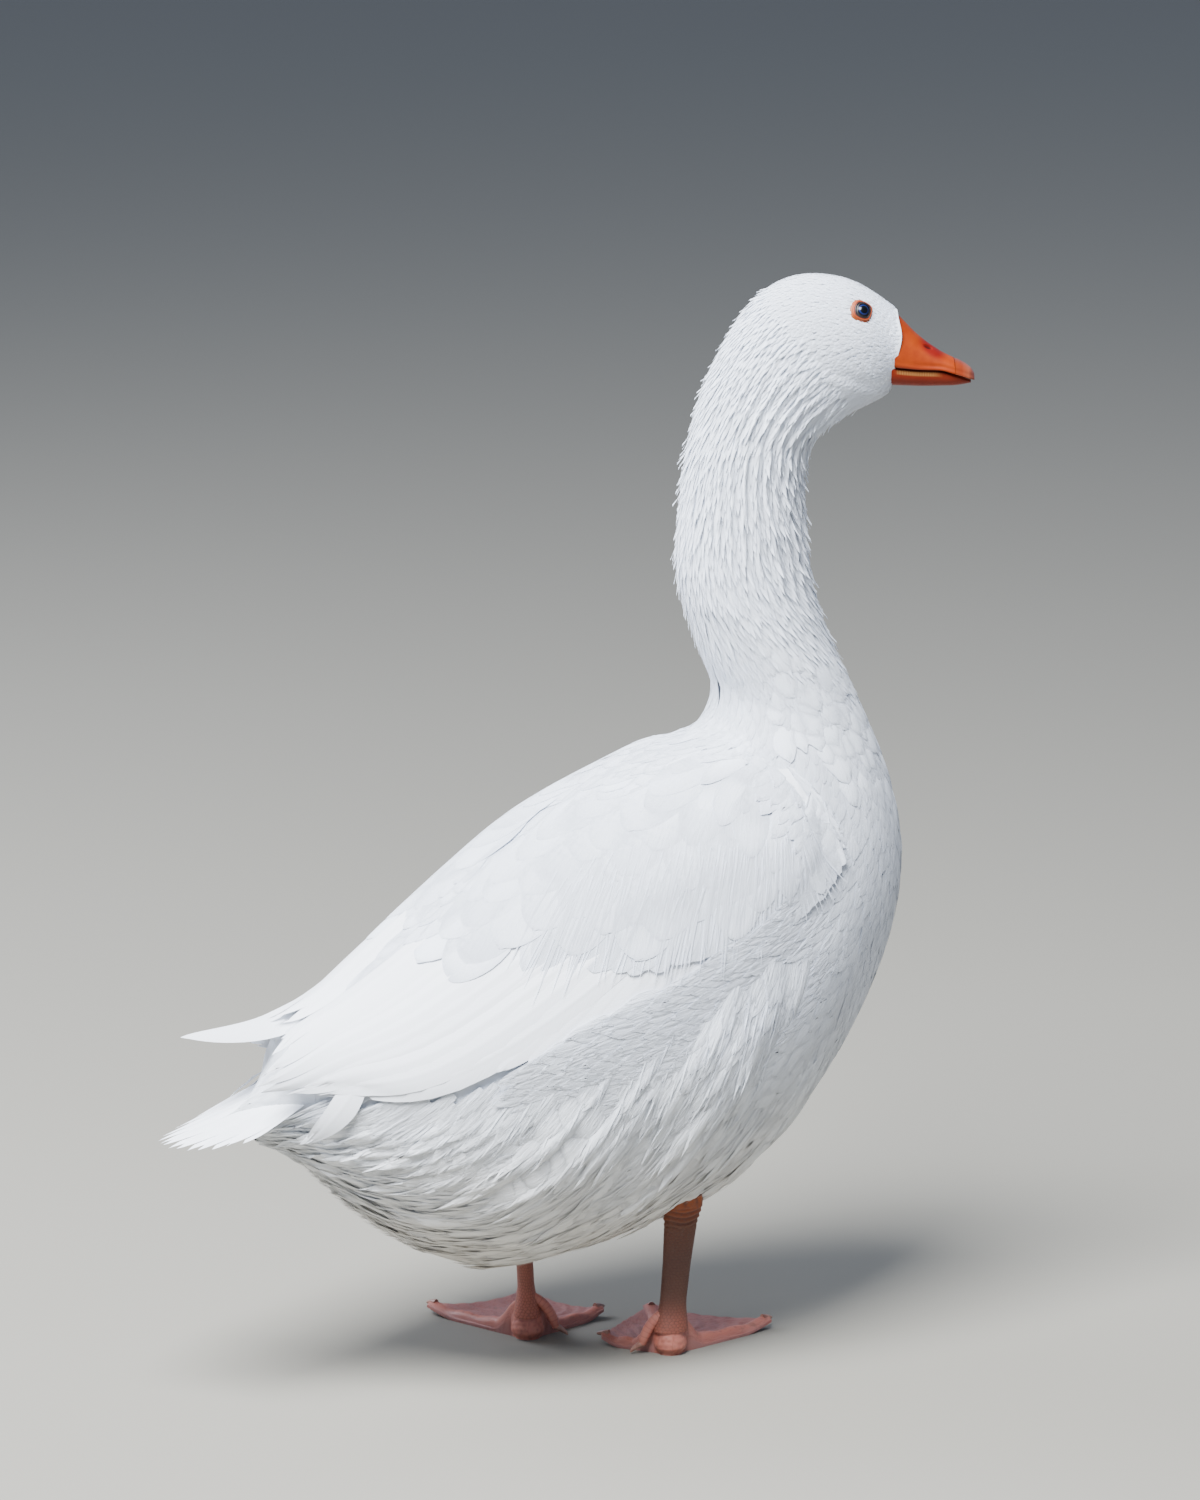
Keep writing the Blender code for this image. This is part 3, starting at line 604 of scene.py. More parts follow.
for name, first, last, across, apart, length, seed in (
    ("nape", 11.75, 13.1, 0.0028, 0.0042, 0.0125, 21),
    ("middle", 9.1, 11.85, 0.0036, 0.0064, 0.0195, 23),
    ("low", 7.9, 9.25, 0.0046, 0.0072, 0.0230, 25),
):
    a, b, space = roots_on(on_body, first, last, -math.pi, math.pi, across, apart, seed)
    lift = np.interp(a, (7.9, 8.6, 9.4, 10.4, 11.5, 12.2), (0.0003, 0.0008, 0.0012, 0.0016, 0.0014, 0.0008))
    raised = 1 + 2.6 * np.random.default_rng(seed).random(len(a)) ** 4 * eased(7.9, 8.8, a)
    coat("neck_coat_" + name, [vanes(
        on_body, a, b, length, 0.64 * space, sink=0.0014, lift=lift * raised, camber=0.15,
        tip=(1.6, 1.05), rag=0.12, wave=0.08, rows=6, columns=5, level=pleat, seed=seed + 1,
    )])

# ---- The breast, crop and shoulders: broad soft feathers with round tips. At the neck's root they
# stand in plump tufts.


def billows(along, angle):
    """Soft folds over the breast and shoulders, risen where they lie on the folded wings."""
    breast = eased(4.6, 5.6, along) * (1 - eased(7.0, 7.8, along))
    folds = drift(0.8 * along + 0.5 * np.sin(angle), 14 * angle / math.tau, 8, 14)
    return 0.0014 * breast * folds + 0.0042 * under_wing(along, angle, 12.0) + nape_rise(along, angle)


def lapped(along, angle):
    """The billows again, twice as high over a wing, for feathers that lap over its edge or its bend."""
    beside = eased(0.5, 1.0, abs(folded(angle)))
    return billows(along, angle) + 0.0042 * under_wing(along, angle, 16.0) * beside


a, b, space = roots_on(on_body, 5.0, 8.4, -math.pi, math.pi, 0.0085, 0.0115, 31)
shown = under_wing(a, b) < 0.6  # the roots that no wing hides
a, b, space = a[shown], b[shown], space[shown]
size = np.interp(a, (5, 7, 8.4), (1.35, 1.0, 0.75))
coat("breast_coat", [vanes(
    on_body, a, b, 0.040 * size, 1.0 * space, down=0.05, sink=0.0010, lift=0.0001, tip=(2.4, 1.6),
    rag=0.12, wave=0.05, rows=8, columns=7, level=billows, seed=32,
)])

a, b, _ = roots_on(on_body, 7.1, 8.7, math.radians(35), math.radians(325), 0.0150, 0.0150, 33, 0.35)
size = np.random.default_rng(37).random(len(a))
groups = [vanes(
    on_body, a, folded(b), 0.024 + 0.014 * size, 0.0085 + 0.006 * size, down=0.25, sink=0.0012,
    lift=0.0004, camber=0.10, tip=(2.4, 1.7), rag=0.18, wave=0.12, seed=34,
)]
a, b, space = roots_on(on_body, 6.05, 6.9, math.radians(30), math.radians(88), 0.0090, 0.0110, 35)
for side, way in SIDES:  # the shoulder's feathers lap back over each wing's bend
    groups.append(vanes(
        on_body, a, way * b, 0.040, 1.1 * space, down=0.12, sink=0.0010, lift=0.0002, tip=(2.4, 1.6),
        rag=0.14, wave=0.08, rows=10, level=lapped, seed=36,
    ))
coat("crop_tufts", groups)

# ---- The belly and flanks: long loose feathers without hooks to their barbs, so that they part in
# wavy strands and sweep down and back round the legs.


def waves(along, angle):
    """Long folds that run slanting down the flanks, over the same billows as the breast."""
    low = eased(1.2, 1.8, abs(folded(angle)))
    slant = abs(folded(angle)) + 0.5 * along
    folds = 2 * abs(drift(0.7 * along, 4.0 * slant, 9)) + abs(drift(1.4 * along, 9 * slant, 10)) - 0.9
    return 0.0044 * low * folds * (1 - eased(4.6, 5.8, along)) + billows(along, angle)


a, b, space = roots_on(on_body, 1.0, 5.3, math.radians(55), math.radians(305), 0.0090, 0.0130, 41)
b = folded(b)
shown = (under_wing(a, b) < 0.75) & (a > np.interp(abs(b), (1.6, 2.4), (1.5, 1.0)))
a, b, space = a[shown], b[shown], space[shown]
size = np.interp(a, (0.8, 1.6, 3, 5.3), (0.75, 0.95, 1.1, 0.95))
under = eased(1.5, 2.6, abs(b))
flank = {}
for side, way in SIDES:
    mine = b * way > 0
    slope = 0.12 + 0.50 * (1 - under[mine])
    flank[side] = [vanes(
        on_body, a[mine], b[mine], 0.054 * size[mine], np.minimum(1.1 * space[mine], 0.013),
        down=slope, bend=0.10, lift=0.0006 * size[mine], tip=(1.8, 1.2), rag=0.16, wave=0.16,
        level=waves, seed=42,
    )]

# Along the front half of the wing's lower edge the flank feathers sweep up and lap over it.
a, b, space = roots_on(on_body, 3.0, 6.1, math.radians(77), math.radians(110), 0.0085, 0.0110, 45)
reach = eased(2.8, 3.8, a)
for side, way in SIDES:
    flank[side].append(vanes(
        on_body, a, way * b, 0.056, 1.1 * space, down=-0.22 * reach, bend=0.10, sink=0.0010,
        lift=0.0003, tip=(2.2, 1.4), rag=0.16, wave=0.10, rows=10, level=lapped, seed=46,
    ))
    coat("belly_coat_" + side, flank[side], loose)

# Single strands lie over the coat, and stand off it behind the legs.
a, b, _ = roots_on(on_body, 1.1, 5.0, math.radians(80), math.radians(280), 0.0080, 0.0110, 51, 0.5)
b = folded(b)
shown = under_wing(a, b) < 0.2
a, b = a[shown], b[shown]
groups = [vanes(
    on_body, a, b, 0.050, 0.0013, down=0.62 - 0.5 * eased(1.5, 2.6, abs(b)), bend=0.25, sink=0.0006,
    lift=0.0022, camber=0.2, tip=(1.6, 1.2), wave=0.5, columns=3, level=waves, seed=52,
)]
a, b, _ = roots_on(on_body, 0.95, 2.9, math.radians(120), math.radians(240), 0.0070, 0.0110, 53, 0.5)
lift = np.interp(a, (1, 2.9), (0.0065, 0.0035))
groups.append(vanes(
    on_body, a, folded(b), 0.034, 0.0026, down=0.1, bend=0.2, sink=0.001, lift=lift, camber=0.12,
    tip=(1.5, 1.1), wave=0.4, columns=3, seed=54,
))
coat("belly_strands", groups, loose)

# Broad locks lie over the flanks and hang ragged at the belly's hind edge.
a, b, _ = roots_on(on_body, 1.3, 4.9, math.radians(92), math.radians(268), 0.0200, 0.0240, 57, 0.5)
b = folded(b)
size = np.random.default_rng(58).random(len(a))
lift = 0.0022 + 0.0016 * size + 0.0050 * size * (1 - eased(1.5, 2.8, a))
coat("belly_locks", [vanes(
    on_body, a, b, 0.044 + 0.022 * size, 0.0060 + 0.0045 * size,
    down=0.60 - 0.45 * eased(1.6, 2.7, abs(b)), bend=0.25, sink=0.0010, lift=lift, camber=0.16,
    tip=(1.4, 1.0), rag=0.30, wave=0.22, rows=12, level=waves, seed=59,
)], loose)

# ---- The back between the wings, and the coverts over and under the tail. Broad white vanes in rows
# that run back from the shoulders, the longest reaching out over the tail's quills.


def on_rump(a, b):
    """The tail's stump under its coverts: a is 1 at the rump's first section and 0 at the fan's root."""
    ring = off_body(1.0, b, -0.0008)
    middle = rump.mean((0, 1))
    share = a[..., None]
    return middle + (1 - share) * STUMP + (ring - middle) * np.clip(share, 0.15, 1) ** STUMP_TAPER


def unwrap_rump(a, b):
    """The stump's strip of the skin's unwrap."""
    return 0.025 * a, 0.5 + 0.47 * folded(b) / math.pi


a, b, _ = roots_on(on_rump, 0.50, 1.0, -1.9, 1.9, 0.0080, 0.0120, 67)
long_coverts = vanes(
    on_rump, a, b, 0.052, 0.0095, lift=0.0010, camber=0.04, tip=(2.4, 1.5), rag=0.10, wave=0.06,
    rows=12, columns=7, unwrap=unwrap_rump, seed=68,
)
a, b, space = roots_on(on_rump, 0.3, 1.05, -math.pi, math.pi, 0.0090, 0.0100, 65)
coat("tail_coverts", [vanes(
    on_rump, a, b, 0.034, 1.0 * space, lift=0.0003, camber=0.02, tip=(2.6, 1.6), rag=0.12, wave=0.08,
    columns=7, unwrap=unwrap_rump, seed=66,
), long_coverts])

a, b, space = roots_on(on_body, 1.5, 6.6, math.radians(-28), math.radians(28), 0.0130, 0.0170, 61)
coat("back_coat", [vanes(
    on_body, a, b, np.minimum(0.050, 0.016 + 0.09 * (a - 1.5)), 1.0 * space, sink=0.0010, lift=0.0001,
    tip=(3.0, 1.9), rag=0.06, wave=0.04, columns=7, level=billows, seed=62,
)])

# ---- The folded wings. Small coverts at the bend, then rows of broad ones, the scapulars lying over
# them in one smooth mantle, and beyond these the long stiff flight feathers.


def wing_of(side, stand=0.0):
    """The outer face of a folded wing: a counts its rows back from the tip (0) to the bend (8), and
    b runs from its upper edge (0) to its lower (1), negative on the right side."""
    edges, way = spline(WING_EDGES[side]), dict(SIDES)[side]

    def on_wing(a, b):
        along, high, low = np.moveaxis(edges(8 - a), -1, 0)
        share = way * b
        bulge = np.sqrt(np.maximum(0, 1 - (2 * np.clip(share, 0, 1) - 1) ** 2))
        thin = (1 - 0.6 * eased(6, 8, 8 - a)) * eased(-0.6, 2.0, 8 - a)
        rise = (0.0020 + 0.0035 * bulge + stand) * thin * (0.4 + 0.6 * eased(-0.05, 0.25, share))
        return off_body(along, way * np.radians(high + (low - high) * share), rise)

    return on_wing


def unwrap_wing(side):
    """The skin's unwrap under a wing."""
    edges, way = spline(WING_EDGES[side]), dict(SIDES)[side]

    def at(a, b):
        along, high, low = np.moveaxis(edges(8 - a), -1, 0)
        return unwrap_body(along, way * np.radians(high + (low - high) * way * b))

    return at


# The mantle's lower edge: rows from the bend, and how far down the wing its last roots lie.
MANTLE_ROW = (
    (0.1, 0.80), (0.8, 0.78), (1.3, 0.74), (2.0, 0.66), (2.3, 0.61), (2.9, 0.54), (3.3, 0.42), (3.9, 0.32),
)
# The whole wing's lower edge: rows, and where the feathers over it end.
WING_HEM = (
    (0.5, 0.90), (1, 0.94), (2, 0.99), (3, 0.98), (3.5, 0.97), (4, 0.96), (4.5, 0.93), (5, 0.89),
    (6, 0.91), (7, 0.95),
)


def steep(row, share):
    """How far a mantle feather turns down: most over the middle of the wing, little by the back."""
    fade = np.interp(row, (0, 2.4, 3.4, 4.4), (1.0, 1.0, 0.75, 0.4))
    return (0.12 + 0.68 * eased(0.05, 0.45, share)) * fade


def mantle_length(row):
    """The length of the mantle's last feathers, longer towards the tip."""
    return np.interp(row, (0.7, 2, 3.5), (0.046, 0.066, 0.078))


def swell(seed):
    """Low soft swellings over a wing, longer along it than across."""
    return lambda a, b: 0.0024 * drift(0.9 * a + 0.4 * abs(b), 6 * abs(b) - 0.5 * a, seed)


for side, way in SIDES:
    wing, flat, seed = wing_of(side, -0.0006), unwrap_wing(side), 70 if side == "R" else 90
    a, b, space = roots_on(wing, 4.3, 7.9, way * 0.55, way * 0.98, 0.0150, 0.0190, seed)
    row, share = 8 - a, way * b
    kept = (share < straight(WING_HEM, row + 0.5) - 0.19) & (row > 0.4)
    a, b, space, row = a[kept], b[kept], space[kept], row[kept]
    lower = vanes(
        wing, a, b, np.interp(row, (0, 1.5), (0.045, 0.062)), 1.1 * space,
        down=np.interp(row, (0.5, 3), (0.62, 0.40)), bend=0.05, lift=0.0, tip=(3.2, 1.9), rag=0.03,
        wave=0.02, rows=12, level=swell(5), unwrap=flat, seed=seed + 1,
    )
    mantle = wing_of(side, 0.0036)
    a, b, space = roots_on(mantle, 3.9, 7.98, way * 0.0, way * 0.82, 0.0175, 0.0200, seed + 2)
    row, share = 8 - a, way * b
    kept = (share < straight(MANTLE_ROW, row) + 0.01) & (row > 0.3)
    a, b, space, row, share = a[kept], b[kept], space[kept], row[kept], share[kept]
    size = np.interp(row, (0, 1, 2.5, 4), (0.60, 0.90, 1.20, 1.35))
    upper = vanes(
        mantle, a, b, 0.060 * size, 1.1 * space * np.clip(size, 0.8, 1.2), down=steep(row, share),
        bend=0.08, sink=np.interp(row, (0.3, 1.3), (0.0045, 0.0008)), lift=0.0, camber=0.008,
        tip=(2.8, 1.8), rag=0.03, wave=0.02, rows=12, level=swell(6), unwrap=flat, seed=seed + 3,
    )
    chance = np.random.default_rng(seed + 4)
    row = np.linspace(0.6, 3.6, 36)
    share = straight(MANTLE_ROW, row) + 0.04 + chance.normal(0, 0.006, 36)
    edge = vanes(
        mantle, 8 - row, way * share, mantle_length(row), 0.0180, down=steep(row, share), bend=0.10,
        lift=-0.0010, camber=0.004, tip=(3.4, 2.2), rag=0.03, wave=0.02, rows=16, level=swell(6),
        unwrap=flat, seed=seed + 5,
    )
    # Loose barbs at the feathers' ends soften the mantle's edge.
    row = chance.uniform(0.9, 3.7, 170)
    share = straight(MANTLE_ROW, row) + 0.04 + chance.normal(0, 0.05, 170)
    length = mantle_length(row) * chance.uniform(0.9, 1.1, 170)
    down = steep(row, share) + chance.normal(0, 0.06, 170)
    barbs = vanes(
        mantle, 8 - row, way * share, length, 0.0013, down=down, bend=0.12, sink=-0.0002, lift=-0.0004,
        camber=0.1, tip=(1.6, 1.1), wave=0.3, rows=14, columns=3, level=swell(6), unwrap=flat,
        seed=seed + 6,
    )
    coat("wing_coverts_" + side, [lower, edge, upper, barbs])

# Flight feathers are stiffer and smoother than the coat: long, flat, with a shaft and close barbs.
quill, add = new_material(
    "white flight feathers, close barbed", Roughness=0.62, Sheen_Weight=0.08, Specular_IOR_Level=0.35
)
tone = add("Attribute", {"attribute_name": "tone"}).outputs["Fac"]
shade = ramp(add("ValToRGB", {}, {"Fac": tone}), (0.0, "#ECEEF2"), (1.0, "#F6F8FC"))
vane = add("UVMap", {"uv_map": "Vane"}).outputs[0]
barbs = add("TexNoise", {"Scale": 1.0, "Detail": 2.0, "Roughness": 0.6}, {"Vector": vane}).outputs["Fac"]
relief = add("Bump", {"Strength": 0.3, "Distance": 0.0005}, {"Height": barbs}).outputs[0]
add("Principled", {}, {"Base Color": shade, "Normal": relief})

# Secondaries end along the wing's lower edge, the hind ones lying over the front ones. Tertials and
# primaries reach back past the rump, and the far wing's tip crosses over the tail.
for side, way in SIDES:
    wing, flat = wing_of(side, -0.0004), unwrap_wing(side)
    order = np.linspace(0, 1, 26)
    tip_row = 2.0 + 5.1 * order
    coat("secondaries_" + side, [vanes(
        wing, 8 - (tip_row - 2.1 + 0.1 * order), way * np.interp(order, (0, 1), (0.74, 0.50)),
        half=0.0150, ends=(8 - tip_row, way * straight(WING_HEM, tip_row)), bow=-0.35,
        lift=0.0004 + 0.0022 * order, camber=0.04, shaft=0.0003, tip=(3.4, 1.9), root=0.5, rag=0.02,
        wave=0.015, rows=24, unwrap=flat, seed=131,
    )], quill)

    upper = wing_of(side, 0.0030)
    tip_row = np.array((6.9, 7.45, 7.5, 7.95, 7.75, 8.02, 7.75, 7.9, 7.5, 7.6, 7.3))
    if side == "L":
        tip_row = np.minimum(tip_row, 6.9)
    tip_share = np.array((1.14, 1.10, 1.02, 0.96, 0.84, 0.74, 0.62, 0.50, 0.36, 0.22, 0.05))
    order = np.linspace(0, 1, 11)
    groups = [vanes(
        upper, 8 - (2.7 + 0.3 * order), way * (0.62 - 0.56 * order), half=0.0130,
        ends=(8 - tip_row, way * tip_share), bow=-0.3, sink=0.0040,
        lift=0.0004 + 0.0024 * order + 0.0009 * (np.arange(11) % 2), camber=0.07, shaft=0.0004,
        tip=(2.6, 1.35), root=0.6, rag=0.05, wave=0.03, rows=26, unwrap=flat, seed=141,
    )]
    # Three primaries show under them. The far wing's stand clear of the tail, turned up on edge.
    primaries = {
        "R": dict(start=4.8, rows_to=(7.0, 7.4, 7.8), down_to=(1.10, 0.95, 0.75), half=0.0125,
                  sink=0.0005, twist=0.0, tip=(3.0, 1.5), wave=0.03, seed=151),
        "L": dict(start=4.2, rows_to=(7.75, 7.9, 8.02), down_to=(0.9, 0.6, 0.4), half=0.0150,
                  sink=0.0030, twist=-0.75, tip=(3.2, 1.5), wave=0.04, seed=152),
    }[side]
    start, rows_to, down_to = (np.array(primaries.pop(key)) for key in ("start", "rows_to", "down_to"))
    groups.append(vanes(
        wing_of(side, 0.0012), np.full(3, start), way * np.array((0.75, 0.55, 0.35)),
        ends=(8 - rows_to, way * down_to), lift=np.array((0.0, 0.0006, 0.0012)), camber=0.05,
        shaft=0.0004, root=0.7, rag=0.04, rows=26, unwrap=flat, **primaries,
    ))
    if side == "R":  # one loose feather hangs from the near wing's edge
        groups.append(vanes(
            wing, np.array((2.2,)), way * np.array((0.80,)), half=0.0105,
            ends=(np.array((0.95,)), way * np.array((1.84,))), sink=-0.003, lift=0.012, camber=0.06,
            shaft=0.0004, tip=(3.0, 1.4), root=0.7, rag=0.10, wave=0.05, rows=26, unwrap=flat,
            seed=161,
        ))
    coat("wing_quills_" + side, groups, quill, ("primaries_" + side,))

# ---- The tail: sixteen stiff quills spread in a low fan, the middle pair on top. Each is one long
# vane with a strong shaft, and the coverts hide their roots.

TAIL_ROOT, TAIL_TIP = (-0.252, 0.220), (-0.345, 0.195)
# Half the fan's width, by the share of the way out.
TAIL_HALF = ((0.0, 0.030), (0.5, 0.044), (1.0, 0.050))


def on_tail(a, b):
    """The fan's upper face: a is 1 at its root and 0 at its end, b runs across it from -1 to 1."""
    share = 1 - a
    y = b * straight(TAIL_HALF, share)
    x = TAIL_ROOT[0] + share * (TAIL_TIP[0] - TAIL_ROOT[0]) + 3.0 * np.clip(share, 0, 1) * y**2
    level = TAIL_ROOT[1] + 0.004 + share * (TAIL_TIP[1] - TAIL_ROOT[1] - 0.004)
    z = level - 6.0 * np.clip(share, 0, 1) * y**2
    return np.stack(np.broadcast_arrays(x, y, z), -1)


def unwrap_tail(a, b):
    """The tail's own strip at the end of the skin's unwrap."""
    return 0.005 + 0.02 * a, 0.5 + 0.45 * b


order = np.linspace(-1, 1, 16)
coat("tail_quills", [vanes(
    on_tail, np.full(16, 1.25), order * 0.82, half=0.0115, ends=(0.45 * order**2 - 0.10, order * 0.85),
    sink=0.0, lift=0.0030 * (1 - abs(order)) + 0.0010 * (np.arange(16) % 2), camber=0.07, shaft=0.0005,
    tip=(2.4, 1.25), root=0.5, rag=0.05, wave=0.03, rows=22, unwrap=unwrap_tail, seed=171,
)], quill, ("tail",))

# ---- The thighs: short soft feathers down to the hock, in rows round the limb, longer where the
# thigh goes into the belly's coat.

groups = []
for side in "RL":
    thigh = thigh_of(side)

    def on_thigh(a, b):
        """The thigh's surface, gone round the other way so that its normal points outwards."""
        return thigh(a, -b)

    a, b, space = roots_on(on_thigh, 0.13, 0.7, 0.0, math.tau, 0.0060, 0.0085, 171)
    groups.append(vanes(
        on_thigh, a, b, np.interp(a, (0.1, 0.3, 0.7), (0.010, 0.018, 0.030)), 0.9 * space, sink=0.001,
        lift=0.0004, camber=0.05, tip=(2.4, 1.5), rag=0.25, wave=0.1, rows=6, columns=5,
        unwrap=lambda a, b: (0.97 + 0.02 * a, 0.5 + 0.07 * b), seed=172,
    ))
coat("thigh_coat", groups)

# ---- The eyes. A glassy ball with a blue iris and a black pupil, set in a fleshy orange ring of two
# bare lids, pointed in front and behind.


def eye_frame(side):
    """The middle of an eye and its axes: out of the head, forwards and upwards."""
    way = dict(SIDES)[side]
    run_a, _, out = tangents(on_body, np.array(EYE_ALONG), np.array(way * EYE_ROUND))
    centre = off_body(EYE_ALONG, way * EYE_ROUND, EYE_OUT - EYE_RADIUS)
    up = np.array((0.0, 0.0, 1.0))
    up = up - out * (up @ out)
    up /= np.linalg.norm(up)
    ahead = np.cross(up, out) if side == "L" else np.cross(out, up)
    if ahead @ run_a < 0:
        ahead = -ahead
    return centre, out, ahead, up


LID_POWER = 1.55

# The wet eye: a black pupil in a faintly rayed dark blue iris, brown round it, under a clear film.
eyeball, add = new_material(
    "wet eye, blue iris", Roughness=0.35, Coat_Weight=0.35, Coat_Roughness=0.02, Specular_IOR_Level=0.1
)
polar = add("UVMap", {"uv_map": "Eye"}).outputs[0]
from_middle = add("SeparateXYZ", {}, {0: polar}).outputs["X"]
spokes = add("Mapping", {"Scale": (2.0, 30.0, 1.0)}, {"Vector": polar}).outputs[0]
threads = add("TexNoise", {"Scale": 1.0, "Detail": 2.0}, {"Vector": spokes}).outputs["Fac"]
rings = ramp(
    add("ValToRGB", {}, {"Fac": from_middle}),
    (0.0, "#020304"), (0.20, "#040508"), (0.225, "#0A1028"), (0.265, "#18245A"), (0.30, "#141E48"),
    (0.325, "#0C1028"), (0.35, "#0C0A0C"), (0.40, "#2A120A"), (0.5, "#6B2A10"),
)
light = add("MapRange", {"To Min": 0.72, "To Max": 1.3}, {"Value": threads}).outputs[0]
multiply = {"data_type": "RGBA", "blend_type": "MULTIPLY", "Factor": 1.0}
iris = add("Mix", multiply, {6: rings, 7: light}).outputs[2]
add("Principled", {}, {"Base Color": iris})

# Bare skin of the lids: orange over their roll, painted nearly black where they tuck in against the eye, as
# the shade in that crease.
lid_skin, add = new_material(
    "bare orange lid skin", Roughness=0.5, Subsurface_Weight=0.3, Subsurface_Scale=0.001,
    Subsurface_Radius=(1.0, 0.4, 0.2),
)
rim = add("Attribute", {"attribute_name": "rim"}).outputs["Fac"]
# From rim 0.6 on the colour is painted shade, nearly black where the lid tucks against the ball.
lids = ramp(
    add("ValToRGB", {}, {"Fac": rim}),
    (0.0, "#9A5A1A"), (0.15, "#924000"), (0.50, "#8C3600"), (0.60, "#581400"), (0.68, "#100302"),
    (1.0, "#060202"),
)
add("Principled", {}, {"Base Color": lids})

for side, way in SIDES:
    centre, out, ahead, up = eye_frame(side)
    polar_angle = np.linspace(0, math.pi, 40)[1:-1, None]
    turn = np.linspace(0, math.tau, 64, endpoint=False)[None, :]
    bulge = 1 + 0.05 * np.exp(-(polar_angle / 0.42) ** 4)
    spin = ahead * np.cos(turn)[..., None] + up * np.sin(turn)[..., None]
    ball = centre + EYE_RADIUS * bulge[..., None] * (
        out * np.cos(polar_angle)[..., None] + spin * np.sin(polar_angle)[..., None]
    )
    place = np.stack(np.broadcast_arrays(2 * polar_angle / math.pi, turn / math.tau), -1)
    faces = tube_faces(*ball.shape[:2], turned_over=np.dot(np.cross(ahead, up), out) > 0)
    add_piece("eyeball_" + side, ball, faces, eyeball, ("eye_" + side,), {"Eye": place})

    # The lids: a soft roll with two creases. Its outer edge is 9.8 mm / (|cos|^p + |sin|^p)^(1/p),
    # leaning 20 degrees, and its inner edge follows at half that.
    around = np.linspace(0, math.tau, 96, endpoint=False)[None, :]
    over = np.linspace(0, 1, 26)[:, None]
    lean = around - math.radians(20)
    diamond = (abs(np.cos(lean)) ** LID_POWER + abs(np.sin(lean)) ** LID_POWER) ** (-1 / LID_POWER)
    outer, inner = 0.0098 * diamond, 0.0047 * diamond**0.8
    reach = outer + (inner - outer) * over
    base_a, base_b = np.array(EYE_ALONG), np.array(way * EYE_ROUND)
    run_a, run_b, _ = tangents(on_body, base_a, base_b)
    spread = reach[..., None] * (ahead * np.cos(around)[..., None] + up * np.sin(around)[..., None])
    go_a, go_b = carried(run_a, run_b, spread)
    crease = 0.00022 * np.sin(over * 3 * math.tau) * np.sin(over * math.pi)
    stand = 0.0026 * np.sin(np.clip(over * 1.12, 0, 1) * math.pi * 0.62) - 0.0010 + crease
    on_head = off_body(base_a + go_a, base_b + go_b, stand)
    level_out = (on_head - centre) @ out
    to_ball = np.sqrt(np.maximum(EYE_RADIUS**2 - reach**2, 0)) * 1.03
    tuck = eased(0.55, 1.0, over)
    on_head = on_head + out * ((to_ball + 0.0004 - level_out) * tuck)[..., None]
    tucked = on_head - out * 0.0022
    ring = np.concatenate([on_head, tucked[::-1]])
    rim = np.concatenate([over + 0 * around, over[::-1] + 0 * around])
    count, turns = ring.shape[:2]
    near = np.arange(turns)
    far = np.roll(near, -1)
    row = np.arange(count)[:, None] * turns
    next_row = np.roll(row, -1)
    faces = np.stack([near + row, far + row, far + next_row, near + next_row], -1).reshape(-1, 4)
    if np.dot(np.cross(ahead, up), out) < 0:
        faces = faces[:, ::-1]
    add_piece("eyelids_" + side, ring, [faces], lid_skin, values={"rim": rim})

# ---- The bill. Two horny sheaths over the jaws, orange, smooth and a little waxy, with slit nostrils,
# a pale hooked nail at the tip and a row of fine plates along the gape.

BILL_BASE, BILL_TIP, NAIL_FROM, JAW_TIP, GAPE_PLATES = 0.2312, 0.2872, 0.2738, 0.2848, 31
CULMEN = ((0.0, 0.7635), (0.3, 0.7455), (0.6, 0.7325), (0.85, 0.7252), (0.95, 0.7215), (1.0, 0.7168))
TOMIUM = ((0.0, 0.7235), (0.3, 0.7215), (0.6, 0.7208), (0.85, 0.7162), (1.0, 0.7122))
JAW_LINE = ((0.0, 0.7085), (0.4, 0.7076), (0.8, 0.7080), (1.0, 0.7098))
BILL_HALF = ((0.0, 0.0182), (0.4, 0.0160), (0.75, 0.0146), (0.93, 0.0116), (1.0, 0.0050))
JAW_HALF = ((0.0, 0.0165), (0.4, 0.0142), (0.75, 0.0126), (0.93, 0.0090), (1.0, 0.0035))


def read(table, share):
    """A short table read with a smooth curve through its rows."""
    table = np.asarray(table)
    fine = np.linspace(0, 1, 201)
    rough = np.interp(fine, table[:, 0], table[:, 1])
    soft = np.convolve(np.pad(rough, 12, mode="edge"), np.ones(25) / 25, mode="valid")
    keep = np.minimum(fine, 1 - fine) * 10
    return np.interp(share, fine, np.where(keep < 1, rough + (soft - rough) * np.clip(keep, 0, 1), soft))


def mandible(share, arch, tip, upper, lower, half, way):
    """Points of a jaw's sheath: an arch of half-width wide and height crest - flat on a flat base,
    y = wide cos^0.8 and z = flat + (crest - flat) sin^0.8."""
    flat, crest, wide = (read(table, share) for table in (lower, upper, half))
    root = BILL_BASE - 0.0022 - 0.0032 * eased(0.765, 0.709, crest + (flat - crest) * 0.5)
    x = root + share * (tip - root)
    side = np.sign(np.cos(arch)) * abs(np.cos(arch)) ** 0.8
    rise = np.sin(arch) ** 0.8
    y = wide * side
    z = flat + way * 0.00015 + (crest - flat - way * 0.00015) * rise
    return np.stack(np.broadcast_arrays(x, y, z), -1), side, rise


def in_spot(points, centre, reach, slope):
    """0 at the middle of an oval spot on the bill's side and 1 on its edge, as a distance."""
    x = points[..., 0] - centre[0]
    z = points[..., 2] - centre[1] - slope * x
    return np.sqrt((x / reach[0]) ** 2 + (z / reach[1]) ** 2)
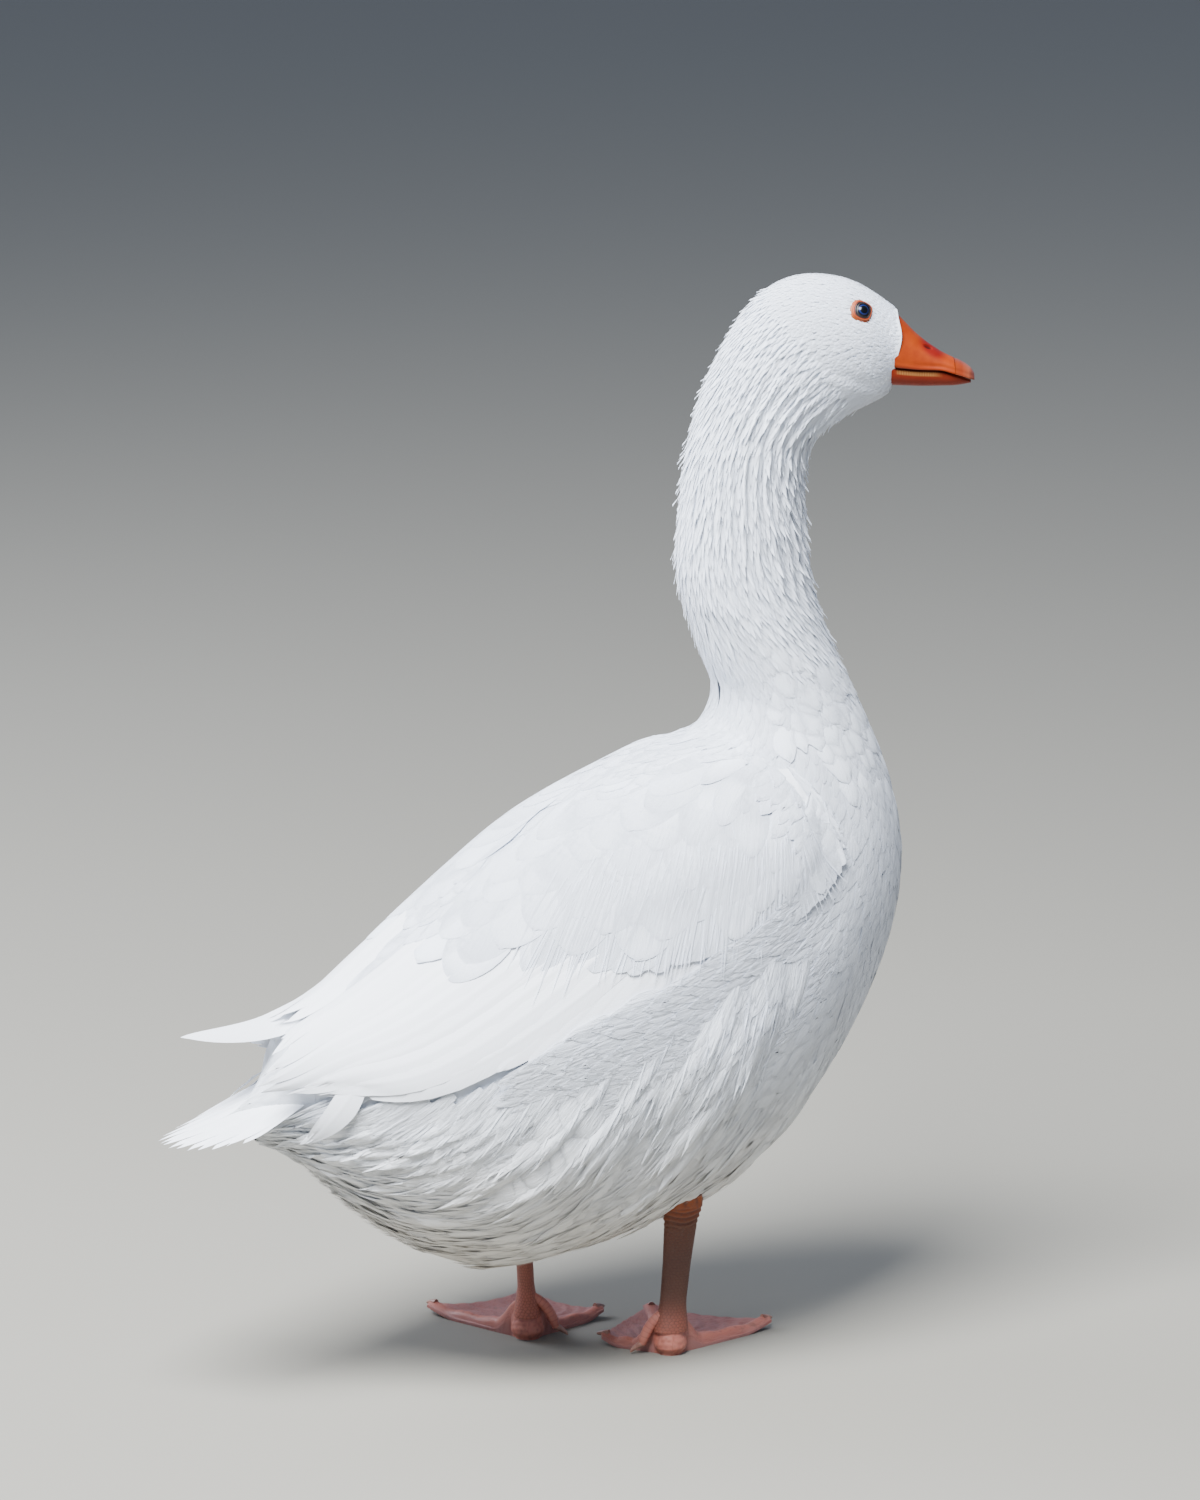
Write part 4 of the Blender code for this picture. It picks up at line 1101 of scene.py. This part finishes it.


# Waxy orange horn, faintly mottled: redder round the nostril, with painted shade dark inside it and a
# painted shadow along the gape where the jaws meet, and a yellowish row of plates along the gape.
sheath, add = new_material("orange horn, waxy", Roughness=0.48, Specular_IOR_Level=0.25)
place = add("TexCoord").outputs["Object"]
mottle = add("TexNoise", {"Scale": 90.0, "Detail": 3.0}, {"Vector": place}).outputs["Fac"]
colour = ramp(add("ValToRGB", {}, {"Fac": mottle}), (0.3, "#7A2600"), (0.55, "#862E00"), (0.75, "#903600"))
# The dark mask is painted shade: inside the nostril's hollow and in the gap along the gape.
for part, code in (("lower", "#701800"), ("cream", "#A8743C"), ("red", "#660600"), ("dark", "#160300")):
    mask = add("Attribute", {"attribute_name": part}).outputs["Fac"]
    colour = add("Mix", {"data_type": "RGBA", 7: linear(code)}, {0: mask, 6: colour}).outputs[2]
grain = add("TexNoise", {"Scale": 700.0, "Detail": 2.0}, {"Vector": place}).outputs["Fac"]
relief = add("Bump", {"Strength": 0.25, "Distance": 0.0001}, {"Height": grain}).outputs[0]
add("Principled", {}, {"Base Color": colour, "Normal": relief})

# The nail's horn is smoother and pinker.
nail_horn, add = new_material("pale nail horn", Roughness=0.3, Coat_Weight=0.2, Coat_Roughness=0.2)
grow = add("Attribute", {"attribute_name": "grow"}).outputs["Fac"]
horn = ramp(
    add("ValToRGB", {}, {"Fac": grow}),
    (0.0, "#762900"), (0.35, "#7A2A0A"), (0.7, "#8E4428"), (1.0, "#803214"),
)
add("Principled", {}, {"Base Color": horn})

to_nail = (NAIL_FROM - BILL_BASE) / (BILL_TIP - BILL_BASE)
arch = np.linspace(0, math.pi, 81)[None, :]
for name, node, horn, slot, start, end, rows in (
    ("bill_sheath", "bill_upper", sheath, "bill", 0.0, to_nail - 0.004, 70),
    ("nail", "bill_nail", nail_horn, "bill_nail", to_nail, 1.0, 36),
):
    step = np.linspace(0, 1, rows)
    share = (start + (end - start) * (np.sin(step * math.pi / 2) if name == "nail" else step))[:, None]
    points, side, rise = mandible(share, arch, BILL_TIP, CULMEN, TOMIUM, BILL_HALF, 1)
    outwards = np.stack(np.broadcast_arrays(0 * rise, side, rise), -1)
    outwards /= np.linalg.norm(outwards, axis=-1, keepdims=True)
    hole = in_spot(points, (0.2527, 0.7378), (0.0036, 0.0012), -0.38)
    dip = in_spot(points, (0.2500, 0.7382), (0.0105, 0.0052), -0.38)
    up_side = points[..., 2] - read(TOMIUM, share)
    roll = 0.00045 * np.exp(-((up_side - 0.0009) / 0.0010) ** 2)
    lip = roll - 0.0003 * np.exp(-((up_side - 0.0034) / 0.0012) ** 2)
    sunk = 0.0012 * (1 - eased(0.55, 1.1, hole)) + 0.0005 * (1 - eased(0.3, 1.0, dip))
    fade = 1 - eased(to_nail - 0.1, to_nail, share)
    points = points + outwards * (lip * eased(0, 0.06, share) - sunk * fade)[..., None]
    grow = (share - to_nail) / (1 - to_nail)
    if name == "nail":
        points = points + outwards * (0.0004 * eased(0, 0.25, grow) * rise)[..., None]
    zero = 0 * up_side
    blush = in_spot(points, (0.2560, 0.7363), (0.0080, 0.0052), -0.45)
    # Painted shade on the upper sheath: dark inside the nostril and along its lower edge over the jaw.
    gape = 0.8 * (1 - eased(0.0003, 0.0010, up_side)) * (1 - eased(0.6, 0.95, share))
    tints = {
        "red": (1 - eased(0.6, 1.6, blush)) * 0.95,
        "dark": np.maximum((1 - eased(0.4, 0.95, hole)) * 0.75, gape),
        "cream": zero,
        "lower": zero + 0.25 * (1 - eased(0, 0.004, up_side)),
        "grow": zero + grow,
    }
    faces = tube_faces(*points.shape[:2])
    add_piece(name, turned(points), faces, horn, (node,), values=tints, sharp=70)

share = np.concatenate([np.linspace(0, 0.9, 60), np.linspace(0.91, 1.0, 14)])[:, None]
points, side, rise = mandible(share, arch, JAW_TIP, JAW_LINE, TOMIUM, JAW_HALF, -1)
down_side = read(TOMIUM, share) - points[..., 2]
groove = 0.0011 * np.exp(-((down_side - 0.0004) / 0.0007) ** 2)
plate = np.sin(share * 2 * GAPE_PLATES * math.pi)
plates = 0.00016 * plate * (1 - eased(0.5, 0.62, share))
strip = eased(0.0012, 0.0017, down_side) * (1 - eased(0.0042, 0.0052, down_side))
strip = strip * (1 - eased(0.5, 0.66, share)) * eased(0.04, 0.1, share)
shadow = np.exp(-((down_side - 0.0002) / 0.0011) ** 2)
points[..., 1] += np.sign(side) * (plates * strip - groove * (abs(side) > 0.3))
tints = {
    "red": 0 * strip,
    "dark": 0.95 * shadow * (1 - 0.9 * eased(0.5, 0.8, share)),
    "cream": strip * (0.65 + 0.35 * plate),
    "lower": 0 * strip + 0.85,
}
faces = tube_faces(*points.shape[:2], turned_over=True)
add_piece("jaw_sheath", turned(points), faces, sheath, ("bill_lower",), values=tints, sharp=70)

# ---- The shanks. Bone and tendon under tight leathery skin set with small flat scales; orange and
# folded at the hock, browner and dusty below.

SCALES_ROUND, SCALES_UP = 22, 46


def scale_cells(x, y, across, seed):
    """Distances to the nearest and next nearest scale centre, x wrapping after so many scales."""
    shift = np.random.default_rng(seed).uniform(-0.28, 0.28, (2, across, 512))
    best, second = np.full(x.shape, 9.0), np.full(x.shape, 9.0)
    for step_x in (-1, 0, 1):
        for step_y in (-1, 0, 1):
            cell_x, cell_y = np.floor(x).astype(int) + step_x, np.floor(y).astype(int) + step_y
            off_x = cell_x + 0.5 + 0.5 * (cell_y % 2) - 0.25 + shift[0][cell_x % across, cell_y % 512]
            off_y = cell_y + 0.5 + shift[1][cell_x % across, cell_y % 512]
            gap = np.hypot(x - off_x, y - off_y)
            second = np.minimum(second, np.maximum(best, gap))
            best = np.minimum(best, gap)
    return best, second


# Shank skin: dull brown with dust on it, orange at the hock, darker in the seams between scales,
# and painted darker as shade in the troughs of the hock's wrinkles and folds.
shin, add = new_material(
    "scaly shank skin, dusty", Roughness=0.55, Subsurface_Weight=0.15, Subsurface_Scale=0.001,
    Subsurface_Radius=(1.0, 0.35, 0.2),
)
place = add("TexCoord").outputs["Object"]
up_leg, clean, groove = (
    add("Attribute", {"attribute_name": part}).outputs["Fac"] for part in ("up_leg", "clean", "groove")
)
colour = ramp(
    add("ValToRGB", {}, {"Fac": up_leg}),
    (0.0, "#6C4234"), (0.15, "#583628"), (0.55, "#523024"), (0.8, "#5C3018"), (0.9, "#803A0C"),
    (1.0, "#984600"),
)
dust = add("TexNoise", {"Scale": 420.0, "Detail": 4.0, "Roughness": 0.7}, {"Vector": place}).outputs["Fac"]
speck = add("MapRange", {"From Min": 0.52, "From Max": 0.68, "To Max": 0.75}, {"Value": dust}).outputs[0]
for mask, code in ((speck, "#5A4034"), (clean, "#A8604E"), (groove, "#4A2A20")):
    colour = add("Mix", {"data_type": "RGBA", 7: linear(code)}, {0: mask, 6: colour}).outputs[2]
relief = add("Bump", {"Strength": 0.4, "Distance": 0.0002}, {"Height": dust}).outputs[0]
add("Principled", {}, {"Base Color": colour, "Normal": relief})

for side in "RL":
    leg = LEGS[side]
    ankle, hock = (*leg["heel"], ANKLE_UP - 0.004), (*leg["hock"], HOCK_UP + 0.002)
    on_shank = limb(SHANK, ankle, hock, leg["shank_yaw"])
    share = np.linspace(0, 1, 230)[:, None]
    turn = np.linspace(0, math.tau, 110, endpoint=False)[None, :]
    share, turn = share + 0 * turn, turn + 0 * share
    near, nearer = scale_cells(turn / math.tau * SCALES_ROUND, share * SCALES_UP, SCALES_ROUND, 7)
    plate = eased(0.02, 0.30, nearer - near)
    near_hock = eased(0.76, 0.86, share)
    wrinkle = np.sin(share * 160 + 1.5 * np.sin(3 * turn))
    wrinkle = wrinkle * eased(0.74, 0.82, share) * (1 - eased(0.90, 0.94, share))
    fold = np.sin(9 * turn + 14 * share) * eased(0.90, 0.96, share)
    flare = 0.0034 * (1 - eased(0.0, 0.28, share)) ** 1.5
    scaly = 0.00028 * (plate - 0.6) * (1 - 0.7 * near_hock)
    ridge = flare + scaly + 0.0004 * wrinkle + 0.0005 * fold
    out = -tangents(on_shank, share, turn)[2]
    points = on_shank(share, turn) + out * ridge[..., None]
    seams = 0.55 * (1 - plate) * (1 - 0.6 * near_hock)
    values = {
        "up_leg": share,
        "clean": (0.05 if side == "R" else 0.75) + 0.6 * (1 - eased(0.0, 0.3, share)),
        # The wrinkle and fold terms paint shade into the hock's creases; the seams are the scales' own dark
        # joints.
        "groove": np.clip(seams + 0.6 * eased(0.3, 1, -wrinkle) + 0.45 * eased(0.3, 1, -fold), 0, 1),
    }
    faces = tube_faces(*points.shape[:2])
    add_piece("shank_skin_" + side, points, faces, shin, ("shank_" + side,), values=values)

# ---- The feet. Three long toes joined by a thin web, with a round pad under the ankle and a small
# hind toe. The skin is pink and finely grained, with cross scales down each toe.

TIP_RISE, TOE_HALF, TOE_HEIGHT, WEB_TOP, WEB_CLEAR = 0.006, 0.0062, 0.0100, 0.0034, 0.0010
WEB_DIP, HUB, HUB_FALL, PAD, TOE_TAPER, KNUCKLE, TOE_ROUND = 0.13, 0.0101, 0.020, 0.0134, 0.45, 0.10, 2.2
SCUTE, GRAIN = 0.0030, 0.0017


def foot_points(leg, round_it, share):
    """A webbed foot in polar form: radius share of the way from the ankle out to the outline.

    The outline is the larger of the pad, three straight-sided toes and the scalloped web. Toes are
    round ridges that sink to their tips and swell at the joints. Gives the upper and lower face,
    the share of a toe's height and how dark its creases are.
    """
    lengths, spread = leg["toes"], math.radians(leg["spread"])
    toes = [leg["inner"] * turn for turn in (spread, 0, -spread)]
    reach = np.full(round_it.shape, PAD)
    for direction, length in zip(toes, lengths):
        off = abs(round_it - direction)
        side = TOE_HALF / np.maximum(np.sin(np.minimum(off, math.pi / 2)), 1e-3)
        tip = length * (1 - TOE_ROUND * off**2)
        reach = np.where(off < math.pi / 2, np.maximum(reach, np.minimum(side, tip)), reach)
    order = np.argsort(toes)
    between = np.interp(round_it, np.array(toes)[order], np.array(lengths)[order])
    scallop = 1 - WEB_DIP * np.sin(math.pi * (round_it % spread) / spread) ** 0.7
    reach = np.where(abs(round_it) < spread, np.maximum(reach, between * scallop), reach)
    radius = HUB + (reach - HUB) * share
    forward, aside = radius * np.cos(round_it), radius * np.sin(round_it)
    ridges, alongs = [], []
    for direction, length in zip(toes, lengths):
        along = forward * np.cos(direction) + aside * np.sin(direction)
        off = aside * np.cos(direction) - forward * np.sin(direction)
        ridge = np.sqrt(np.maximum(0, 1 - (off / TOE_HALF) ** 2))
        knuckles = 1 + KNUCKLE * np.cos(along / length * 3 * math.tau)
        ridges.append(TOE_HEIGHT * ridge * knuckles * (1 - TOE_TAPER * along / length) * (along > 0))
        alongs.append(along)
    toe_top = np.max(ridges, axis=0)
    along = np.take_along_axis(np.stack(alongs), np.argmax(ridges, axis=0)[None], 0)[0]
    on_web = (abs(round_it) < spread) * np.ones_like(share)
    edge = 1 - 0.45 * share**6
    slope = (ANKLE_UP - WEB_TOP) * (1 - eased(HUB, HUB + HUB_FALL, radius)) * (1 - 0.5 * share**4)
    toe_share = np.clip(toe_top / TOE_HEIGHT, 0, 1)
    on_toe = eased(0.35, 0.7, toe_share)
    scute = abs(np.sin(along / SCUTE * math.pi))
    scutes = 0.00035 * scute**0.5 * on_toe
    grain_near, grain_next = scale_cells(forward / GRAIN + 200, aside / GRAIN + 200, 512, 5)
    grain = 0.00016 * eased(0.02, 0.3, grain_next - grain_near) * (1 - on_toe)
    furrow = 0.0003 * np.sin(round_it * 40 + 3 * np.sin(radius * 130)) * (1 - eased(0.1, 0.4, toe_share))
    web = WEB_TOP * edge + furrow * on_web * eased(0, 0.3, share)
    top = np.maximum(toe_top * edge, web) + slope + (scutes + grain) * (share < 1)
    top = np.where(share == 0, ANKLE_UP, top)
    curl = TIP_RISE * eased(0.72, 1.05, radius / between)
    off_toe = on_web * (toe_top < 0.3 * TOE_HEIGHT)
    clearance = curl + WEB_CLEAR * off_toe * eased(HUB, HUB + HUB_FALL, radius)
    # Behind the toes the ankle runs down into a round heel pad, drawn in where it meets the ground.
    heel = eased(spread + 0.25, spread + 0.9, abs(round_it)) * np.ones_like(share)
    swollen = np.sin(np.clip(share * 1.25, 0, 1) * math.pi / 2) ** 2 - eased(0.78, 1.0, share)
    creases = 0.00012 * np.sin(share * 30 + 2 * np.sin(3 * round_it))
    creases = creases * eased(0.1, 0.3, share) * (1 - eased(0.8, 1.0, share))
    radius = radius + (0.0090 + 0.0034 * swollen + creases - radius) * heel
    top = top + (ANKLE_UP * (1 - share) ** 0.85 + grain - top) * heel
    sole = radius[-1:] * (0.3 + 0.7 * share)
    yaw = leg["yaw"] + round_it
    over = (leg["heel"][0] + radius * np.cos(yaw), leg["heel"][1] + radius * np.sin(yaw), top + curl)
    under = (leg["heel"][0] + sole * np.cos(yaw), leg["heel"][1] + sole * np.sin(yaw), clearance)
    dark = 0.5 * (1 - eased(0.0, 0.25, grain_next - grain_near)) * (1 - on_toe)
    dark = dark + 0.55 * (1 - eased(0.0, 0.35, scute)) * on_toe
    toe_share = toe_share + (0.75 - toe_share) * heel
    return np.stack(over, -1), np.stack(np.broadcast_arrays(*under), -1), toe_share, dark


# Skin of web and toes: soft pink that glows a little, patched with dried mud, red in its creases.
web_skin, add = new_material(
    "pink webbed skin, grained", Roughness=0.5, Subsurface_Weight=0.25, Subsurface_Scale=0.0015,
    Subsurface_Radius=(1.0, 0.4, 0.25),
)
place = add("TexCoord").outputs["Object"]
toe, crease = (add("Attribute", {"attribute_name": part}).outputs["Fac"] for part in ("toe", "crease"))
colour = ramp(
    add("ValToRGB", {}, {"Fac": toe}),
    (0.0, "#A8726A"), (0.35, "#B27266"), (0.7, "#BC7260"), (1.0, "#C47E70"),
)
patchy = add("TexNoise", {"Scale": 120.0, "Detail": 4.0, "Roughness": 0.65}, {"Vector": place})
patches = {"From Min": 0.55, "From Max": 0.72, "To Max": 0.6}
mud = add("MapRange", patches, {"Value": patchy.outputs["Fac"]}).outputs[0]
for mask, code in ((mud, "#74564A"), (crease, "#8C4A3E")):
    colour = add("Mix", {"data_type": "RGBA", 7: linear(code)}, {0: mask, 6: colour}).outputs[2]
add("Principled", {}, {"Base Color": colour})

# Claw horn: pale brown and lightly streaked.
claw_horn, add = new_material("pale claw horn", Roughness=0.35, Coat_Weight=0.1)
place = add("TexCoord").outputs["Object"]
streak = add("TexNoise", {"Scale": 300.0}, {"Vector": place}).outputs["Fac"]
horn = ramp(add("ValToRGB", {}, {"Fac": streak}), (0.3, "#8A5A4C"), (0.7, "#B08674"))
add("Principled", {}, {"Base Color": horn})

HALLUX_PATH = ((0.003, 0.031), (0.0175, 0.0250), (0.0215, 0.0052))
HALLUX_HALF, HALLUX_TURN, TOE_RINGS = (0.0040, 0.0033), 92, 9
CLAW_LONG, CLAW_HALF, CLAW_SUNK, HIND_CLAW_AT = 0.010, 0.0026, 0.005, (0.0200, 0.0082)


def bent_cone(start, bend, end, thick, thin, rows=30, around=24, ring=0.0):
    """A tapering rod along the curve (1-t)^2 start + 2t(1-t) bend + t^2 end, with soft ring scales."""
    t = np.linspace(0, 1, rows)[:, None]
    start, bend, end = np.asarray(start), np.asarray(bend), np.asarray(end)
    centre = (1 - t) ** 2 * start + 2 * t * (1 - t) * bend + t**2 * end
    ahead = 2 * (1 - t) * (bend - start) + 2 * t * (end - bend)
    ahead /= np.linalg.norm(ahead, axis=1, keepdims=True)
    aside = np.cross(ahead, (0, 0, 1))
    aside /= np.linalg.norm(aside, axis=1, keepdims=True)
    up = np.cross(aside, ahead)
    turn = np.linspace(0, math.tau, around, endpoint=False)[None, :, None]
    round_end = np.sqrt(np.maximum(1 - t**12, 0.03))
    scales = 1 + ring * abs(np.sin(t * TOE_RINGS * math.pi)) ** 0.5
    radius = ((thick + (thin - thick) * t**1.4) * round_end * scales)[:, :, None]
    return centre[:, None] + radius * (aside[:, None] * np.cos(turn) + up[:, None] * np.sin(turn))


for side in "RL":
    leg = LEGS[side]
    spread = leg["spread"]
    behind = spread + np.geomspace(6.6, 178 - spread, 30)
    steps = np.concatenate([
        *(toe + np.linspace(-6, 6, 21) for toe in (-spread, 0, spread)), np.linspace(6.5 - spread, -6.5, 34),
        np.linspace(6.5, spread - 6.5, 34), behind, -behind, [180],
    ])
    round_it = np.radians(np.unique(np.round(steps, 3)))[None, :]
    share = np.linspace(0, 1, 46)[:, None] ** 0.9
    over, under, toe_share, dark = foot_points(leg, round_it, share)
    points = np.concatenate([over, under[::-1]])
    toe, crease = np.concatenate([toe_share, toe_share[::-1]]), np.concatenate([dark, 0 * dark])
    values = {"toe": toe, "crease": crease}
    faces = tube_faces(*points.shape[:2], turned_over=True)
    add_piece("foot_skin_" + side, points, faces, web_skin, ("foot_" + side,), values=values)

    heel = np.array((*leg["heel"], 0.0))

    def beside(turn, reach, height):
        """A point of the foot by its turn from the middle toe, distance from the heel and height."""
        direction = leg["yaw"] + leg["inner"] * math.radians(turn)
        return heel + (reach * math.cos(direction), reach * math.sin(direction), height)

    path = [beside(HALLUX_TURN, reach, height) for reach, height in HALLUX_PATH]
    points = bent_cone(*path, *HALLUX_HALF, rows=60, ring=0.07)
    zero = np.zeros(points.shape[:2])
    ring = abs(np.sin(np.linspace(0, 1, 60)[:, None] * TOE_RINGS * math.pi))
    values = {"toe": zero + 0.8, "crease": 0.5 * (1 - eased(0, 0.4, ring)) + zero}
    faces = tube_faces(*points.shape[:2], turned_over=True)
    name = "hind_toe_skin_" + side
    add_piece(name, points, faces, web_skin, ("hind_toe_" + side,), values=values)

    claws = [("hind", HALLUX_TURN, *HIND_CLAW_AT, 0.0066)]
    for name, turn, length in zip(("inner", "middle", "outer"), (spread, 0, -spread), leg["toes"]):
        claws.append((name, turn, length - CLAW_SUNK, TIP_RISE + CLAW_HALF, 0.0018))
    for name, turn, reach, height, drop in claws:
        points = bent_cone(
            beside(turn, reach, height), beside(turn, reach + 0.6 * CLAW_LONG, height - drop / 4),
            beside(turn, reach + CLAW_LONG, height - drop), CLAW_HALF, CLAW_HALF / 3, rows=24, around=20,
        )
        faces, end = tube_faces(*points.shape[:2], turned_over=True), name + "_" + side
        add_piece("claw_horn_" + end, points, faces, claw_horn, ("claw_" + end,))

# ---- Studio: a pale floor under a cool sky, one broad soft light above on the camera's side, and a
# weaker one from the far side.

floor = bpy.data.meshes.new("floor")
floor.from_pydata([(-40, -40, 0), (40, -40, 0), (40, 40, 0), (-40, 40, 0)], [], [(0, 1, 2, 3)])
# A matt grey-brown floor, light enough to throw some light back up.
ground, add = new_material("pale matt studio floor", Base_Color=linear("#8A867C"), Roughness=0.9)
floor.materials.append(ground)
floor_piece = bpy.data.objects.new("floor", floor)
bpy.context.scene.collection.objects.link(floor_piece)

world = bpy.data.worlds.new("studio")
world.use_nodes = True
world.node_tree.nodes["Background"].inputs["Color"].default_value = linear("#BDD0F2")
world.node_tree.nodes["Background"].inputs["Strength"].default_value = 0.50
bpy.context.scene.world = world


def add_lamp(name, place, aim, size, power, colour):
    """A square soft light at a place, facing its aim."""
    lamp = bpy.data.lights.new(name, "AREA")
    lamp.shape, lamp.size, lamp.energy, lamp.color = "SQUARE", size, power, linear(colour)[:3]
    made = bpy.data.objects.new(name, lamp)
    made.location = place
    way = np.array(aim) - place
    made.rotation_euler = (math.atan2(math.hypot(way[0], way[1]), -way[2]), 0, math.atan2(-way[0], way[1]))
    bpy.context.scene.collection.objects.link(made)


add_lamp("key", (-1.4, -0.9, 3.3), (0, 0, 0.4), 1.9, 640, "#F6FAFF")
add_lamp("back", (-1.5, 2.5, 2.4), (0, 0, 0.4), 2.0, 110, "#EAF1FF")

# ---- The camera, 5 m away on the goose's right and a little behind it, looking down 12 degrees. Its
# long lens, in mm on a frame 24 mm tall, keeps the bird's proportions.

AZIMUTH, ELEVATION, AWAY, LENS = math.radians(-28), math.radians(12), 5.0, 109.584
aim = np.array((SHIFT, 0.0, 0.4478))
sight = np.array((
    -math.sin(AZIMUTH) * math.cos(ELEVATION), math.cos(AZIMUTH) * math.cos(ELEVATION), -math.sin(ELEVATION),
))
lens = bpy.data.cameras.new("camera")
lens.sensor_fit, lens.sensor_height, lens.lens = "VERTICAL", 24.0, LENS
lens.clip_end = 200.0
camera = bpy.data.objects.new("camera", lens)
camera.location = aim - AWAY * sight
camera.rotation_euler = (math.pi / 2 - ELEVATION, 0, AZIMUTH)
bpy.context.scene.collection.objects.link(camera)
bpy.context.scene.camera = camera
